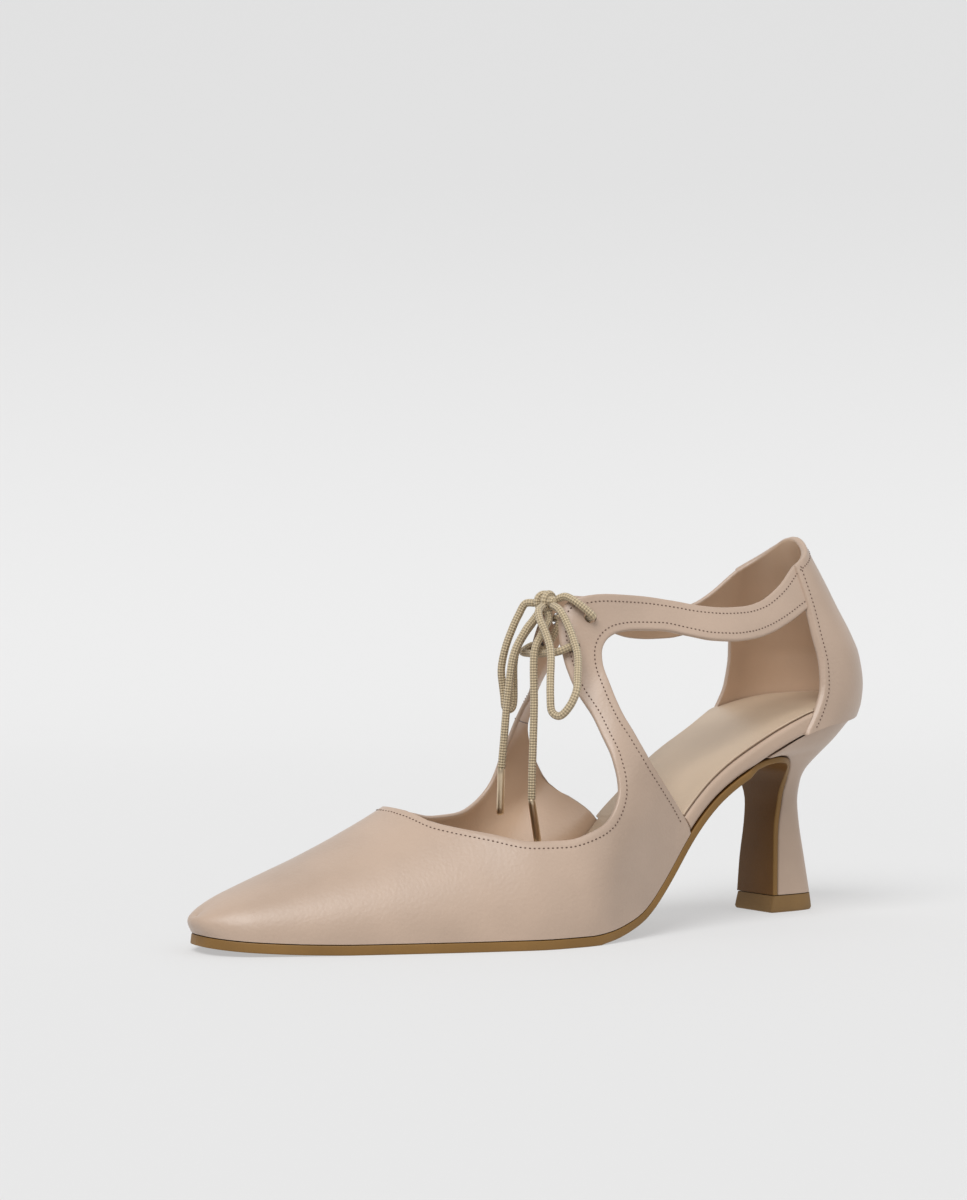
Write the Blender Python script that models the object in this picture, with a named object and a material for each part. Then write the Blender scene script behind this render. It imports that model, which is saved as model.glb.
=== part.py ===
"""Lace up heel, left shoe: pointed toe, cut-out sides, laced instep straps, closed counter, flared heel.

X runs along the shoe with the toe at -X, the outer side is -Y, Z is up and the floor is z = 0.
The tables below are drawn on a pattern in millimetres; the sizes named here stretch that pattern.
"""
import math

import bmesh
import bpy
from mathutils import Vector

# Sizes of the shoe, metres.
LENGTH = 0.2464
BALL_WIDTH = 0.0812
HEEL_RISE = 0.0646
SOLE_THICKNESS = 0.0032
WAIST_THICKNESS = 0.0024
FLAP_THICKNESS = 0.0019
WALL = 0.0016
COUNTER_STEP = 0.0008
SOCK_THICKNESS = 0.0009
GAP = 0.0003
LACE_DIAMETER = 0.0025
LACE_HOLE_DIAMETER = 0.0042
AGLET_DIAMETER = 0.0024

# The pattern's own length, ball width and rise, millimetres, and its seat line at the ball.
PATTERN_LENGTH = 246.4
PATTERN_WIDTH = 81.2
PATTERN_RISE = 64.6
PATTERN_BALL_SEAT = 3.2
ALONG = LENGTH / PATTERN_LENGTH
ACROSS = BALL_WIDTH / PATTERN_WIDTH
UPWARD = HEEL_RISE / PATTERN_RISE

# How finely the forms are divided.
STRIPS = 8
COUNTER_TURNS = 9
COUNTER_LOW_ROWS = 8
HEEL_ROUND = 18
LACE_RESOLUTION = 2
CORD_STEPS = 3
HOLE_SIDES = 12
KNOT_SIDES = 12
KNOT_RINGS = 8

# Pattern millimetres: the counter's arc length, the least half width of a board inside the wall,
# the flat stretch of the sole, where the waist's thickness starts, and the step used for slopes.
COUNTER_ARC = 50
NARROWEST = 3
FLAT_FROM = -180
FLAT_TO = -104
WAIST_FROM = -82
SLOPE_STEP = 0.4

# Pattern millimetres above the seat line: the inner wall's tuck holds to here, then fades out.
TUCK_HOLD = 9
TUCK_FADE = 22

# How far a cord stands off the knot and the leather, metres.
KNOT_CLEARANCE = GAP * 1.4
LACE_CLEARANCE = GAP * 2
WELD = GAP / 15

# Seat line: height of the sole's upper face along the shoe.
SEAT = [
    dict(x=-216, z=5.9), dict(x=-209, z=5.0), dict(x=-200, z=4.2), dict(x=-188, z=3.5),
    dict(x=-175, z=3.2), dict(x=-108, z=3.2), dict(x=-99, z=3.9), dict(x=-91, z=5.6),
    dict(x=-84.7, z=7.7), dict(x=-79.7, z=10.7), dict(x=-73.6, z=15.9), dict(x=-67.5, z=22),
    dict(x=-62.7, z=27.3), dict(x=-58.5, z=31.8), dict(x=-53.5, z=36.6), dict(x=-46.5, z=42.2),
    dict(x=-38, z=47.3), dict(x=-29, z=51.7), dict(x=-21.3, z=55.4), dict(x=-9, z=60.7),
    dict(x=1, z=63.6), dict(x=12, z=65.4), dict(x=24, z=67.2), dict(x=32, z=67.9),
]

# Footbed line: height of the sock's upper face along the shoe.
FOOTBED = [
    dict(x=-216, z=8.7), dict(x=-209, z=7.8), dict(x=-200, z=7), dict(x=-188, z=6.3),
    dict(x=-175, z=6), dict(x=-108, z=6), dict(x=-100, z=6.8), dict(x=-90, z=9.7),
    dict(x=-85, z=12.3), dict(x=-80, z=16.2), dict(x=-75, z=21.5), dict(x=-70, z=27.6),
    dict(x=-64.3, z=35), dict(x=-56.8, z=42.2), dict(x=-49.8, z=47.8), dict(x=-42.7, z=52.4),
    dict(x=-35.5, z=56.3), dict(x=-28.6, z=59.7), dict(x=-19.5, z=63.8), dict(x=-5.3, z=69),
    dict(x=5, z=71.6), dict(x=15, z=73.6), dict(x=32, z=75.2),
]

# The last: toe bulge, ridge height, outer and inner edge at the seat line, the ridge's own
# line across, roundness, share of the instep's cone, and how far the straight part climbs.
LAST = [
    dict(x=-213, nose=2, top=10.8, lateral=8.6, medial=8.6, ridge=8.6, round=2.6, cone=0, base=0),
    dict(x=-212.5, nose=1.8, top=11.3, lateral=3.4, medial=13, ridge=8.7, round=2.6, cone=0, base=0),
    dict(x=-211.3, nose=1.4, top=12.3, lateral=0, medial=16, ridge=8.8, round=2.5, cone=0, base=0),
    dict(x=-208.5, nose=0.7, top=14.1, lateral=-4.2, medial=19.8, ridge=9, round=2.4, cone=0, base=0),
    dict(x=-204, nose=0.2, top=16.3, lateral=-8.2, medial=23.6, ridge=9.1, round=2.3, cone=0, base=0),
    dict(x=-198, nose=0, top=18.6, lateral=-11.4, medial=27, ridge=9.2, round=2.2, cone=0, base=0),
    dict(x=-190, nose=0, top=21.6, lateral=-15.2, medial=30.4, ridge=9.2, round=2.1, cone=0, base=0),
    dict(x=-178, nose=0, top=26.2, lateral=-20.8, medial=33.8, ridge=9, round=2, cone=0, base=0),
    dict(x=-164, nose=0, top=32.6, lateral=-27, medial=36.2, ridge=8.8, round=1.85, cone=0, base=0),
    dict(x=-150, nose=0, top=39.8, lateral=-32.9, medial=37.4, ridge=8.6, round=1.75, cone=0, base=0),
    dict(x=-137, nose=0, top=48, lateral=-38, medial=37, ridge=7.6, round=1.65, cone=0, base=0),
    dict(x=-120, nose=0, top=61.5, lateral=-43.2, medial=36, ridge=5, round=1.6, cone=0.1, base=0),
    dict(x=-109, nose=0, top=75, lateral=-43.6, medial=35, ridge=2.5, round=1.55, cone=0.4, base=0),
    dict(x=-104, nose=0, top=84, lateral=-43, medial=35, ridge=1.5, round=1.5, cone=0.7, base=0),
    dict(x=-97, nose=0, top=98.5, lateral=-41.2, medial=35, ridge=0.5, round=1.5, cone=1, base=0),
    dict(x=-92, nose=0, top=111, lateral=-39.7, medial=35, ridge=0, round=1.5, cone=1, base=0),
    dict(x=-84, nose=0, top=127, lateral=-37, medial=34.4, ridge=0, round=1.5, cone=1, base=0),
    dict(x=-75, nose=0, top=138, lateral=-34, medial=33, ridge=0, round=1.5, cone=1, base=0),
    dict(x=-60, nose=0, top=146, lateral=-30, medial=29.8, ridge=0, round=1.5, cone=1, base=0),
    dict(x=-45, nose=0, top=148, lateral=-28.2, medial=28.2, ridge=0, round=1.5, cone=1, base=2),
    dict(x=-35, nose=0, top=147.5, lateral=-27.6, medial=27.6, ridge=0, round=1.5, cone=1, base=2),
    dict(x=-20, nose=0, top=145, lateral=-27.4, medial=27.4, ridge=0, round=1.5, cone=0.5, base=1),
    dict(x=-8, nose=0, top=142, lateral=-27.4, medial=27.4, ridge=0, round=1.5, cone=0, base=2),
    dict(x=0, nose=0, top=141, lateral=-27.5, medial=27.5, ridge=0, round=1.5, cone=0, base=0.6),
    dict(x=40, nose=0, top=141, lateral=-27.5, medial=27.5, ridge=0, round=1.5, cone=0, base=-3.8),
]

# The instep's cone: share of each half width left at each share of the height.
CONE = [
    dict(up=0, lateral=1, medial=1), dict(up=0.2, lateral=0.99, medial=1),
    dict(up=0.35, lateral=0.93, medial=0.98), dict(up=0.45, lateral=0.82, medial=0.92),
    dict(up=0.51, lateral=0.71, medial=0.81), dict(up=0.56, lateral=0.61, medial=0.7),
    dict(up=0.605, lateral=0.53, medial=0.58), dict(up=0.65, lateral=0.45, medial=0.44),
    dict(up=0.71, lateral=0.375, medial=0.34), dict(up=0.77, lateral=0.32, medial=0.3),
    dict(up=0.89, lateral=0.2, medial=0.2), dict(up=1, lateral=0, medial=0),
]

# Share of the inner half width that the waist's arch takes off at the footbed.
TUCK = [
    dict(x=-112, lost=0), dict(x=-104, lost=0.03), dict(x=-97, lost=0.09), dict(x=-90, lost=0.19),
    dict(x=-82, lost=0.33), dict(x=-74, lost=0.45), dict(x=-66, lost=0.52), dict(x=-57, lost=0.55),
    dict(x=-50, lost=0.5), dict(x=-42, lost=0.43), dict(x=-36, lost=0.38), dict(x=-26.5, lost=0.32),
    dict(x=-20, lost=0.25), dict(x=-13, lost=0.13), dict(x=-8, lost=0.04), dict(x=-4, lost=0),
]

# The back of the counter in side view.
BACK = [
    dict(z=60, x=24.4), dict(z=63, x=25.6), dict(z=66, x=27.6), dict(z=72, x=30.4),
    dict(z=78.7, x=31.4), dict(z=87.4, x=30.3), dict(z=94.4, x=27.3), dict(z=103, x=22.3),
    dict(z=113.4, x=16.7), dict(z=123, x=11.5), dict(z=128.4, x=9.2), dict(z=134, x=8),
]

# The counter's front edge and its collar, from the front edge (0) to the back seam (1).
COUNTER_FRONT = [
    dict(z=61, x=-9.2), dict(z=65.4, x=-6.2), dict(z=70.7, x=-2.9), dict(z=77, x=-0.4),
    dict(z=85, x=0.3), dict(z=94.1, x=-0.8), dict(z=103.2, x=-1.5), dict(z=110.4, x=-2.4),
    dict(z=118.3, x=-3.4),
]
COLLAR = [
    dict(turn=0, z=117.4), dict(turn=0.3, z=121.6), dict(turn=0.6, z=125.6),
    dict(turn=0.85, z=128), dict(turn=1, z=128.4),
]
COUNTER_FOOT_Z = 61
STRAP_FOOT_Z = 103.6
COLLAR_FRONT_Z = 117.4

# Stations of the toe, from the tip to the throat.
TOE = [-213, -212.5, -211.3, -208.5, -204, -198, -190, -180, -169, -158, -149]

# Stations behind the throat: lower edge, upper edge, and how far the strips bow to the ridge.
# The lower edge is the seat line, then the side opening, then the strap's lower edge; the upper
# edge is the topline, then the facing, then the strap's upper edge. The seat line's rows come first.
SEAT_ROWS = 12
OUTER_SIDE = [
    dict(x0=-143, z0=3.2, x1=-147.2, z1=39.2, bow=1), dict(x0=-137, z0=3.2, x1=-144.4, z1=36.6, bow=0.8),
    dict(x0=-131, z0=3.2, x1=-139.8, z1=35.1, bow=0.5), dict(x0=-124, z0=3.2, x1=-132, z1=33.3, bow=0.2),
    dict(x0=-116, z0=3.2, x1=-122, z1=31, bow=0), dict(x0=-107, z0=3.2, x1=-112, z1=31.2, bow=0),
    dict(x0=-98, z0=4.1, x1=-103.5, z1=33.5, bow=0), dict(x0=-89, z0=6.2, x1=-97, z1=37, bow=0),
    dict(x0=-80, z0=10.5, x1=-93.1, z1=41.7, bow=0), dict(x0=-72, z0=17.4, x1=-91.2, z1=46.4, bow=0),
    dict(x0=-65, z0=24.8, x1=-90.7, z1=51.5, bow=0), dict(x0=-59.7, z0=30.6, x1=-90.7, z1=57, bow=0),
    dict(x0=-64.7, z0=38.2, x1=-91.1, z1=62, bow=0), dict(x0=-72.4, z0=47, x1=-91.4, z1=67, bow=0),
    dict(x0=-78, z0=54.4, x1=-92.2, z1=71.5, bow=0), dict(x0=-81.8, z0=62.2, x1=-93.5, z1=76.5, bow=0),
    dict(x0=-83.9, z0=69.5, x1=-94.4, z1=81.3, bow=0), dict(x0=-84.5, z0=77, x1=-94.9, z1=86, bow=0),
    dict(x0=-84.8, z0=83, x1=-95, z1=91, bow=0), dict(x0=-84.2, z0=88, x1=-94.3, z1=96.3, bow=0),
    dict(x0=-81.7, z0=92.5, x1=-92.8, z1=101.3, bow=0), dict(x0=-76.6, z0=95.3, x1=-89.2, z1=105.2, bow=0),
    dict(x0=-69.5, z0=96.1, x1=-79, z1=106.8, bow=0), dict(x0=-61, z0=96, x1=-66, z1=106.3, bow=0),
    dict(x0=-52.5, z0=94.4, x1=-54.5, z1=104.9, bow=0), dict(x0=-44, z0=92.9, x1=-45, z1=103.4, bow=0),
    dict(x0=-35.6, z0=92.6, x1=-36.5, z1=102.9, bow=0), dict(x0=-27, z0=93.4, x1=-28.2, z1=103.3, bow=0),
    dict(x0=-18.5, z0=95.6, x1=-20.2, z1=105.2, bow=0), dict(x0=-10.2, z0=99.1, x1=-12.6, z1=109.6, bow=0),
]
INNER_SIDE = [
    dict(x0=-143, z0=3.2, x1=-147.2, z1=39.9, bow=1), dict(x0=-137, z0=3.2, x1=-144.4, z1=38.6, bow=0.8),
    dict(x0=-131, z0=3.2, x1=-139.6, z1=37.7, bow=0.5), dict(x0=-124, z0=3.2, x1=-131.6, z1=36.8, bow=0.2),
    dict(x0=-116, z0=3.2, x1=-121.6, z1=35, bow=0), dict(x0=-107, z0=3.2, x1=-111.6, z1=35.4, bow=0),
    dict(x0=-99, z0=3.9, x1=-103.4, z1=37.9, bow=0), dict(x0=-91, z0=5.6, x1=-97.4, z1=41.9, bow=0),
    dict(x0=-83, z0=8.6, x1=-94, z1=46.8, bow=0), dict(x0=-75, z0=14.7, x1=-92.4, z1=51.6, bow=0),
    dict(x0=-68, z0=21.5, x1=-91.6, z1=56, bow=0), dict(x0=-62.4, z0=27.6, x1=-91, z1=60, bow=0),
    dict(x0=-65.8, z0=33, x1=-90.8, z1=63.6, bow=0), dict(x0=-69.8, z0=39.4, x1=-90.7, z1=67.2, bow=0),
    dict(x0=-76, z0=48.8, x1=-91, z1=71.3, bow=0), dict(x0=-80.3, z0=57, x1=-92, z1=75.9, bow=0),
    dict(x0=-82.8, z0=64.6, x1=-93.2, z1=80.6, bow=0), dict(x0=-84, z0=72, x1=-94.4, z1=85.5, bow=0),
    dict(x0=-84.6, z0=79.4, x1=-95, z1=91, bow=0), dict(x0=-84.2, z0=86.4, x1=-94.3, z1=96.3, bow=0),
    dict(x0=-81.9, z0=92, x1=-92.8, z1=101.3, bow=0), dict(x0=-76.6, z0=95.7, x1=-89.2, z1=105.2, bow=0),
    dict(x0=-69.5, z0=97.1, x1=-79, z1=106.8, bow=0), dict(x0=-61, z0=97.3, x1=-66, z1=106.3, bow=0),
    dict(x0=-52.5, z0=95.8, x1=-54.5, z1=104.9, bow=0), dict(x0=-44, z0=94.3, x1=-45, z1=103.4, bow=0),
    dict(x0=-35.6, z0=93.8, x1=-36.5, z1=102.9, bow=0), dict(x0=-27, z0=94.1, x1=-28.2, z1=103.3, bow=0),
    dict(x0=-18.5, z0=95.9, x1=-20.2, z1=105.2, bow=0), dict(x0=-10.2, z0=99.1, x1=-12.6, z1=109.6, bow=0),
]

# Lace holes on the straps, the same on both sides.
UPPER_HOLE = dict(x=-85.4, z=99.6)
LOWER_HOLE = dict(x=-92, z=90.1)

# Sole along the breast and down the heel's front: path and half width.
BREAST = [
    dict(x=-29, z=51.4, wide=26), dict(x=-23, z=53, wide=25), dict(x=-17.4, z=53.6, wide=24),
    dict(x=-12.6, z=53.1, wide=22), dict(x=-9.5, z=51.9, wide=19.8), dict(x=-6.7, z=50, wide=16.6),
    dict(x=-4.85, z=47.5, wide=13.8), dict(x=-3.85, z=44, wide=11.2), dict(x=-3.75, z=38, wide=8.9),
    dict(x=-4.7, z=29.6, wide=8.3), dict(x=-5.95, z=17.4, wide=9.3), dict(x=-6.65, z=5.9, wide=9.9),
]
SOLE_FRONT = [-213, -212.5, -211.3, -208.5, -204, -198, -190, -178, -164, -150, -137, -124, -112,
              -104, -98, -92, -87, -82, -77, -71, -65, -59.5, -53, -46, -39, -34]

# Heel block: front and back of each slice, half width, squareness and share of the seat's curve.
HEEL = [
    dict(xf=-24.2, zf=53.75, xb=28.2, zb=67.3, wide=27, square=2.6, seat=1),
    dict(xf=-23.4, zf=53.4, xb=26.7, zb=65.8, wide=26.6, square=2.5, seat=0.8),
    dict(xf=-17.4, zf=54, xb=22.6, zb=62, wide=24.8, square=2.4, seat=0.5),
    dict(xf=-12.3, zf=53.5, xb=17.7, zb=57.4, wide=21.6, square=2.4, seat=0.2),
    dict(xf=-9.2, zf=52.2, xb=12.9, zb=53.8, wide=19.2, square=2.5, seat=0),
    dict(xf=-6.4, zf=50.3, xb=9.8, zb=51, wide=16.5, square=2.6, seat=0),
    dict(xf=-4.5, zf=47.6, xb=7.8, zb=48.3, wide=13.7, square=2.7, seat=0),
    dict(xf=-3.5, zf=44, xb=6.7, zb=44.4, wide=11.1, square=2.9, seat=0),
    dict(xf=-3.4, zf=38, xb=6.7, zb=38, wide=8.8, square=3.1, seat=0),
    dict(xf=-4.35, zf=29.6, xb=7.7, zb=29.6, wide=8.2, square=3.4, seat=0),
    dict(xf=-5.6, zf=17.4, xb=9.4, zb=17.4, wide=9.2, square=3.7, seat=0),
    dict(xf=-6.3, zf=5.9, xb=11.2, zb=5.9, wide=9.8, square=4, seat=0),
]
TOP_PIECE = [
    dict(xf=-8.4, zf=5.6, xb=11.3, zb=5.6, wide=10, square=4, seat=0),
    dict(xf=-9.7, zf=0.9, xb=12, zb=0.9, wide=10.3, square=4, seat=0),
    dict(xf=-9.3, zf=0, xb=11.6, zb=0, wide=9.9, square=4, seat=0),
]

# Insole board: foot and head of each cross section, and whether the upper's wall stands there on
# the outer and the inner side.
BOARD = [
    dict(x0=-209.5, x1=-209.5, lateral=1, medial=1), dict(x0=-208, x1=-208, lateral=1, medial=1),
    dict(x0=-205, x1=-205, lateral=1, medial=1), dict(x0=-200, x1=-200, lateral=1, medial=1),
    dict(x0=-192, x1=-192, lateral=1, medial=1), dict(x0=-180, x1=-180, lateral=1, medial=1),
    dict(x0=-164, x1=-164, lateral=1, medial=1), dict(x0=-148, x1=-148, lateral=1, medial=1),
    dict(x0=-132, x1=-132, lateral=1, medial=1), dict(x0=-120, x1=-120, lateral=1, medial=1),
    dict(x0=-108, x1=-108, lateral=1, medial=1), dict(x0=-100, x1=-100.5, lateral=1, medial=1),
    dict(x0=-93, x1=-94.5, lateral=1, medial=1), dict(x0=-87, x1=-89.5, lateral=1, medial=1),
    dict(x0=-81, x1=-84.5, lateral=1, medial=1), dict(x0=-75, x1=-79.5, lateral=1, medial=1),
    dict(x0=-69.5, x1=-74.7, lateral=1, medial=1), dict(x0=-65, x1=-69.6, lateral=1, medial=1),
    dict(x0=-61.5, x1=-65.8, lateral=1, medial=1), dict(x0=-61.1, x1=-65.4, lateral=1, medial=0),
    dict(x0=-59.2, x1=-62.9, lateral=1, medial=0), dict(x0=-58.8, x1=-62.5, lateral=0, medial=0),
    dict(x0=-54, x1=-58.2, lateral=0, medial=0), dict(x0=-47, x1=-52, lateral=0, medial=0),
    dict(x0=-39, x1=-43, lateral=0, medial=0), dict(x0=-30, x1=-32.5, lateral=0, medial=0),
    dict(x0=-21, x1=-21, lateral=0, medial=0), dict(x0=-9.9, x1=-4.6, lateral=0, medial=0),
    dict(x0=-9.7, x1=-4.4, lateral=1, medial=1), dict(x0=-3, x1=1, lateral=1, medial=1),
    dict(x0=4, x1=7, lateral=1, medial=1), dict(x0=11, x1=12.5, lateral=1, medial=1),
    dict(x0=16, x1=17.5, lateral=1, medial=1), dict(x0=20, x1=21.5, lateral=1, medial=1),
    dict(x0=22.6, x1=24.6, lateral=1, medial=1), dict(x0=23.9, x1=26.4, lateral=1, medial=1),
]

# Free lace: centre lines. Each cord sets off from the knot's skin towards its first row.
KNOT_CENTRE = dict(x=-94.6, y=0, z=104.6)
KNOT_SIZE = dict(x=3.4, y=4.2, z=3.4)
LOOP_LATERAL = [
    dict(x=-95.4, y=-8.8, z=101.6), dict(x=-94.8, y=-12.2, z=97), dict(x=-94.6, y=-15.2, z=92),
    dict(x=-95, y=-18, z=87), dict(x=-97.2, y=-21, z=80.4), dict(x=-98.8, y=-22.6, z=76),
    dict(x=-100.8, y=-21.8, z=71.4), dict(x=-102.8, y=-19.4, z=68.4), dict(x=-104.4, y=-17.2, z=69.8),
    dict(x=-104.4, y=-16.4, z=74.6), dict(x=-103.4, y=-15, z=80), dict(x=-101.6, y=-12.6, z=88.4),
    dict(x=-101.2, y=-9.4, z=94), dict(x=-101.4, y=-6.4, z=98.4), dict(x=-100.4, y=-4, z=101.4),
]
LOOP_MEDIAL = [
    dict(x=-98.9, y=6, z=104), dict(x=-100.4, y=7.4, z=100.6), dict(x=-102, y=8.4, z=96.6),
    dict(x=-104, y=9.8, z=90), dict(x=-104.6, y=11.4, z=83), dict(x=-103, y=12, z=74.4),
    dict(x=-101.4, y=12, z=69.6), dict(x=-99.8, y=11.6, z=72.6), dict(x=-100.2, y=10.8, z=77.4),
    dict(x=-101.9, y=8.2, z=84.4), dict(x=-101.8, y=6.6, z=89.4), dict(x=-99.6, y=6, z=93.6),
    dict(x=-96.4, y=5.7, z=97.6), dict(x=-94.1, y=4.7, z=101),
]
END_LATERAL = [
    dict(x=-95.3, y=-2.2, z=98.6), dict(x=-99, y=-3.6, z=94), dict(x=-102, y=-3.8, z=87.6),
    dict(x=-102.2, y=-4, z=72), dict(x=-102.6, y=-4, z=60), dict(x=-103, y=-4, z=50),
    dict(x=-103.2, y=-4, z=41.8),
]
END_MEDIAL = [
    dict(x=-98.2, y=2.4, z=98.6), dict(x=-101.4, y=2.4, z=95), dict(x=-105.1, y=3.6, z=87),
    dict(x=-106.5, y=5, z=73), dict(x=-107.2, y=6, z=60), dict(x=-107.5, y=7, z=51.2),
]
AGLET_LATERAL = [dict(x=-103.2, y=-4, z=41.4), dict(x=-100.6, y=-3.4, z=28.4)]
AGLET_MEDIAL = [dict(x=-107.5, y=7.05, z=50.8), dict(x=-107.6, y=7.6, z=36.8)]
# Where the crossings pass over the arms and cross below, on the outer side.
CROSSING_OVER = [dict(x=-91.5, y=-6.6, z=106.1), dict(x=-89.8, y=-10.4, z=104.1)]
CROSSING_BAR = [dict(x=-96.8, y=-10.6, z=88.6), dict(x=-98.1, y=-5.4, z=88), dict(x=-98.3, y=0, z=87.9)]

SLOPES = {}


def slopes(table, key, value):
    """Slopes of a smooth curve through the table that never overshoots its rows."""
    tag = (id(table), key, value)
    if tag not in SLOPES:
        xs = [row[key] for row in table]
        ys = [row[value] for row in table]
        steps = [b - a for a, b in zip(xs, xs[1:])]
        rates = [(b - a) / s for a, b, s in zip(ys, ys[1:], steps)]
        out = [rates[0]]
        for i in range(1, len(rates)):
            if rates[i - 1] * rates[i] <= 0:
                out.append(0.0)
                continue
            w0 = 2 * steps[i] + steps[i - 1]
            w1 = steps[i] + 2 * steps[i - 1]
            out.append((w0 + w1) / (w0 / rates[i - 1] + w1 / rates[i]))
        out.append(rates[-1])
        SLOPES[tag] = (xs, ys, out)
    return SLOPES[tag]


def curve(table, at, key, value):
    """Value of a table's smooth curve at one place."""
    xs, ys, ms = slopes(table, key, value)
    at = min(max(at, xs[0]), xs[-1])
    i = 0
    while i < len(xs) - 2 and at > xs[i + 1]:
        i += 1
    h = xs[i + 1] - xs[i]
    t = (at - xs[i]) / h
    a = (1 + 2 * t) * (1 - t) ** 2 * ys[i] + t * (1 - t) ** 2 * h * ms[i]
    return a + t * t * (3 - 2 * t) * ys[i + 1] + t * t * (t - 1) * h * ms[i + 1]


def seat(x):
    return curve(SEAT, x, "x", "z")


def place(x, y, z):
    """Pattern millimetres to metres."""
    return Vector((x * ALONG, y * ACROSS, SOLE_THICKNESS + (z - PATTERN_BALL_SEAT) * UPWARD))


def half_width(x, z, side):
    """Where the last's wall stands across, at one place along and up, on one side."""
    low = seat(x) + curve(LAST, x, "x", "base")
    top = curve(LAST, x, "x", "top")
    power = curve(LAST, x, "x", "round")
    ridge = curve(LAST, x, "x", "ridge")
    foot = curve(LAST, x, "x", side)
    cone = curve(LAST, x, "x", "cone")
    up = min(max((z - low) / (top - low), 0), 1)
    share = (1 - cone) * (1 - up ** power) ** (1 / power) + cone * curve(CONE, up, "up", side)
    wide = ridge + (foot - ridge) * share
    if side == "lateral":
        return wide
    over = min(max((z - seat(x) - TUCK_HOLD) / TUCK_FADE, 0), 1)
    return wide * (1 - (1 - kept(x)) * (1 + math.cos(math.pi * over)) / 2)


def kept(x):
    """Share of the inner half width that the waist's arch leaves at the seat line."""
    return 1 - curve(TUCK, x, "x", "lost")


def wall_point(x, z, side):
    return place(x, half_width(x, z, side), z)


def toe_point(x, t, side):
    """A point of the toe: t is 0 at the seat line and 1 on the ridge."""
    low = seat(x)
    z = low + (curve(LAST, x, "x", "top") - low) * math.sin(t * math.pi / 2)
    bulge = curve(LAST, x, "x", "nose") * math.sin(math.pi * t)
    return place(x - bulge, half_width(x, z, side), z)


def counter_point(turn, z, side):
    """A point of the counter: turn is 0 at its front edge and 1 at the back seam."""
    wide = half_width(0, z, "medial")
    centre = curve(BACK, z, "z", "x") - wide
    front = curve(COUNTER_FRONT, z, "z", "x")
    straight = max(centre - front, 0)
    ahead = max(front - centre, 0)
    gone = turn * (straight + wide * math.pi / 2)
    sign = -1 if side == "lateral" else 1
    if gone < straight:
        return place(front + gone, sign * wide, z)
    angle = (gone - straight) / wide
    along = centre + wide * math.sin(angle) + ahead * math.cos(angle)
    return place(along, sign * wide * math.cos(angle), z)


def mix(a, b, t):
    return a + (b - a) * t


def toe_grid(side):
    return [[toe_point(x, j / STRIPS, side) for j in range(STRIPS + 1)] for x in TOE]


def side_grid(side):
    """Strips from the throat along the low side, up the arm and back along the strap."""
    grid = [[toe_point(TOE[-1], j / STRIPS, side) for j in range(STRIPS + 1)]]
    for i, row in enumerate(OUTER_SIDE if side == "lateral" else INNER_SIDE):
        z0 = seat(row["x0"]) if i < SEAT_ROWS else row["z0"]
        line = []
        for j in range(STRIPS + 1):
            t = j / STRIPS
            bowed = mix(t, math.sin(t * math.pi / 2), row["bow"])
            line.append(wall_point(mix(row["x0"], row["x1"], t), mix(z0, row["z1"], bowed), side))
        grid.append(line)
    grid.append([counter_point(0, mix(STRAP_FOOT_Z, COLLAR_FRONT_Z, j / STRIPS), side)
                 for j in range(STRIPS + 1)])
    return grid


def counter_levels():
    """Front heights of the counter's rows: the free edge, then the strap's own strips."""
    low = [mix(COUNTER_FOOT_Z, STRAP_FOOT_Z, j / COUNTER_LOW_ROWS) for j in range(COUNTER_LOW_ROWS)]
    return low + [mix(STRAP_FOOT_Z, COLLAR_FRONT_Z, j / STRIPS) for j in range(STRIPS + 1)]


def counter_turns():
    """Places round the counter: its front edge, the step beside it, then even turns."""
    step = GAP / (COUNTER_ARC * ALONG)
    return [0, step] + [(i + 1) / COUNTER_TURNS for i in range(COUNTER_TURNS)]


def counter_grid(side):
    """Columns of the counter from its front edge round to the back seam."""
    grid = []
    for turn in counter_turns():
        line = []
        top = curve(COLLAR, turn, "turn", "z")
        foot = COUNTER_FOOT_Z
        for _ in range(3):
            foot = seat(counter_point(turn, foot, "medial").x / ALONG)
        for level in counter_levels():
            share = (level - COUNTER_FOOT_Z) / (COLLAR_FRONT_Z - COUNTER_FOOT_Z)
            if turn == 0:
                line.append(counter_point(0, level, side))
            else:
                line.append(counter_point(turn, mix(foot, top, share), side))
        grid.append(line)
    return grid


def add_grid(skin, grid, lifts, outward):
    """Quads over a grid of points; lifts holds how far each column is raised."""
    rows = []
    for points, lift in zip(grid, lifts):
        row = []
        for point in points:
            vert = skin.verts.new(point)
            vert[skin.verts.layers.float["lift"]] = lift
            row.append(vert)
        rows.append(row)
    for a, b in zip(rows, rows[1:]):
        for j in range(len(a) - 1):
            loop = [a[j], a[j + 1], b[j + 1], b[j]]
            skin.faces.new(loop if outward else loop[::-1])


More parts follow.
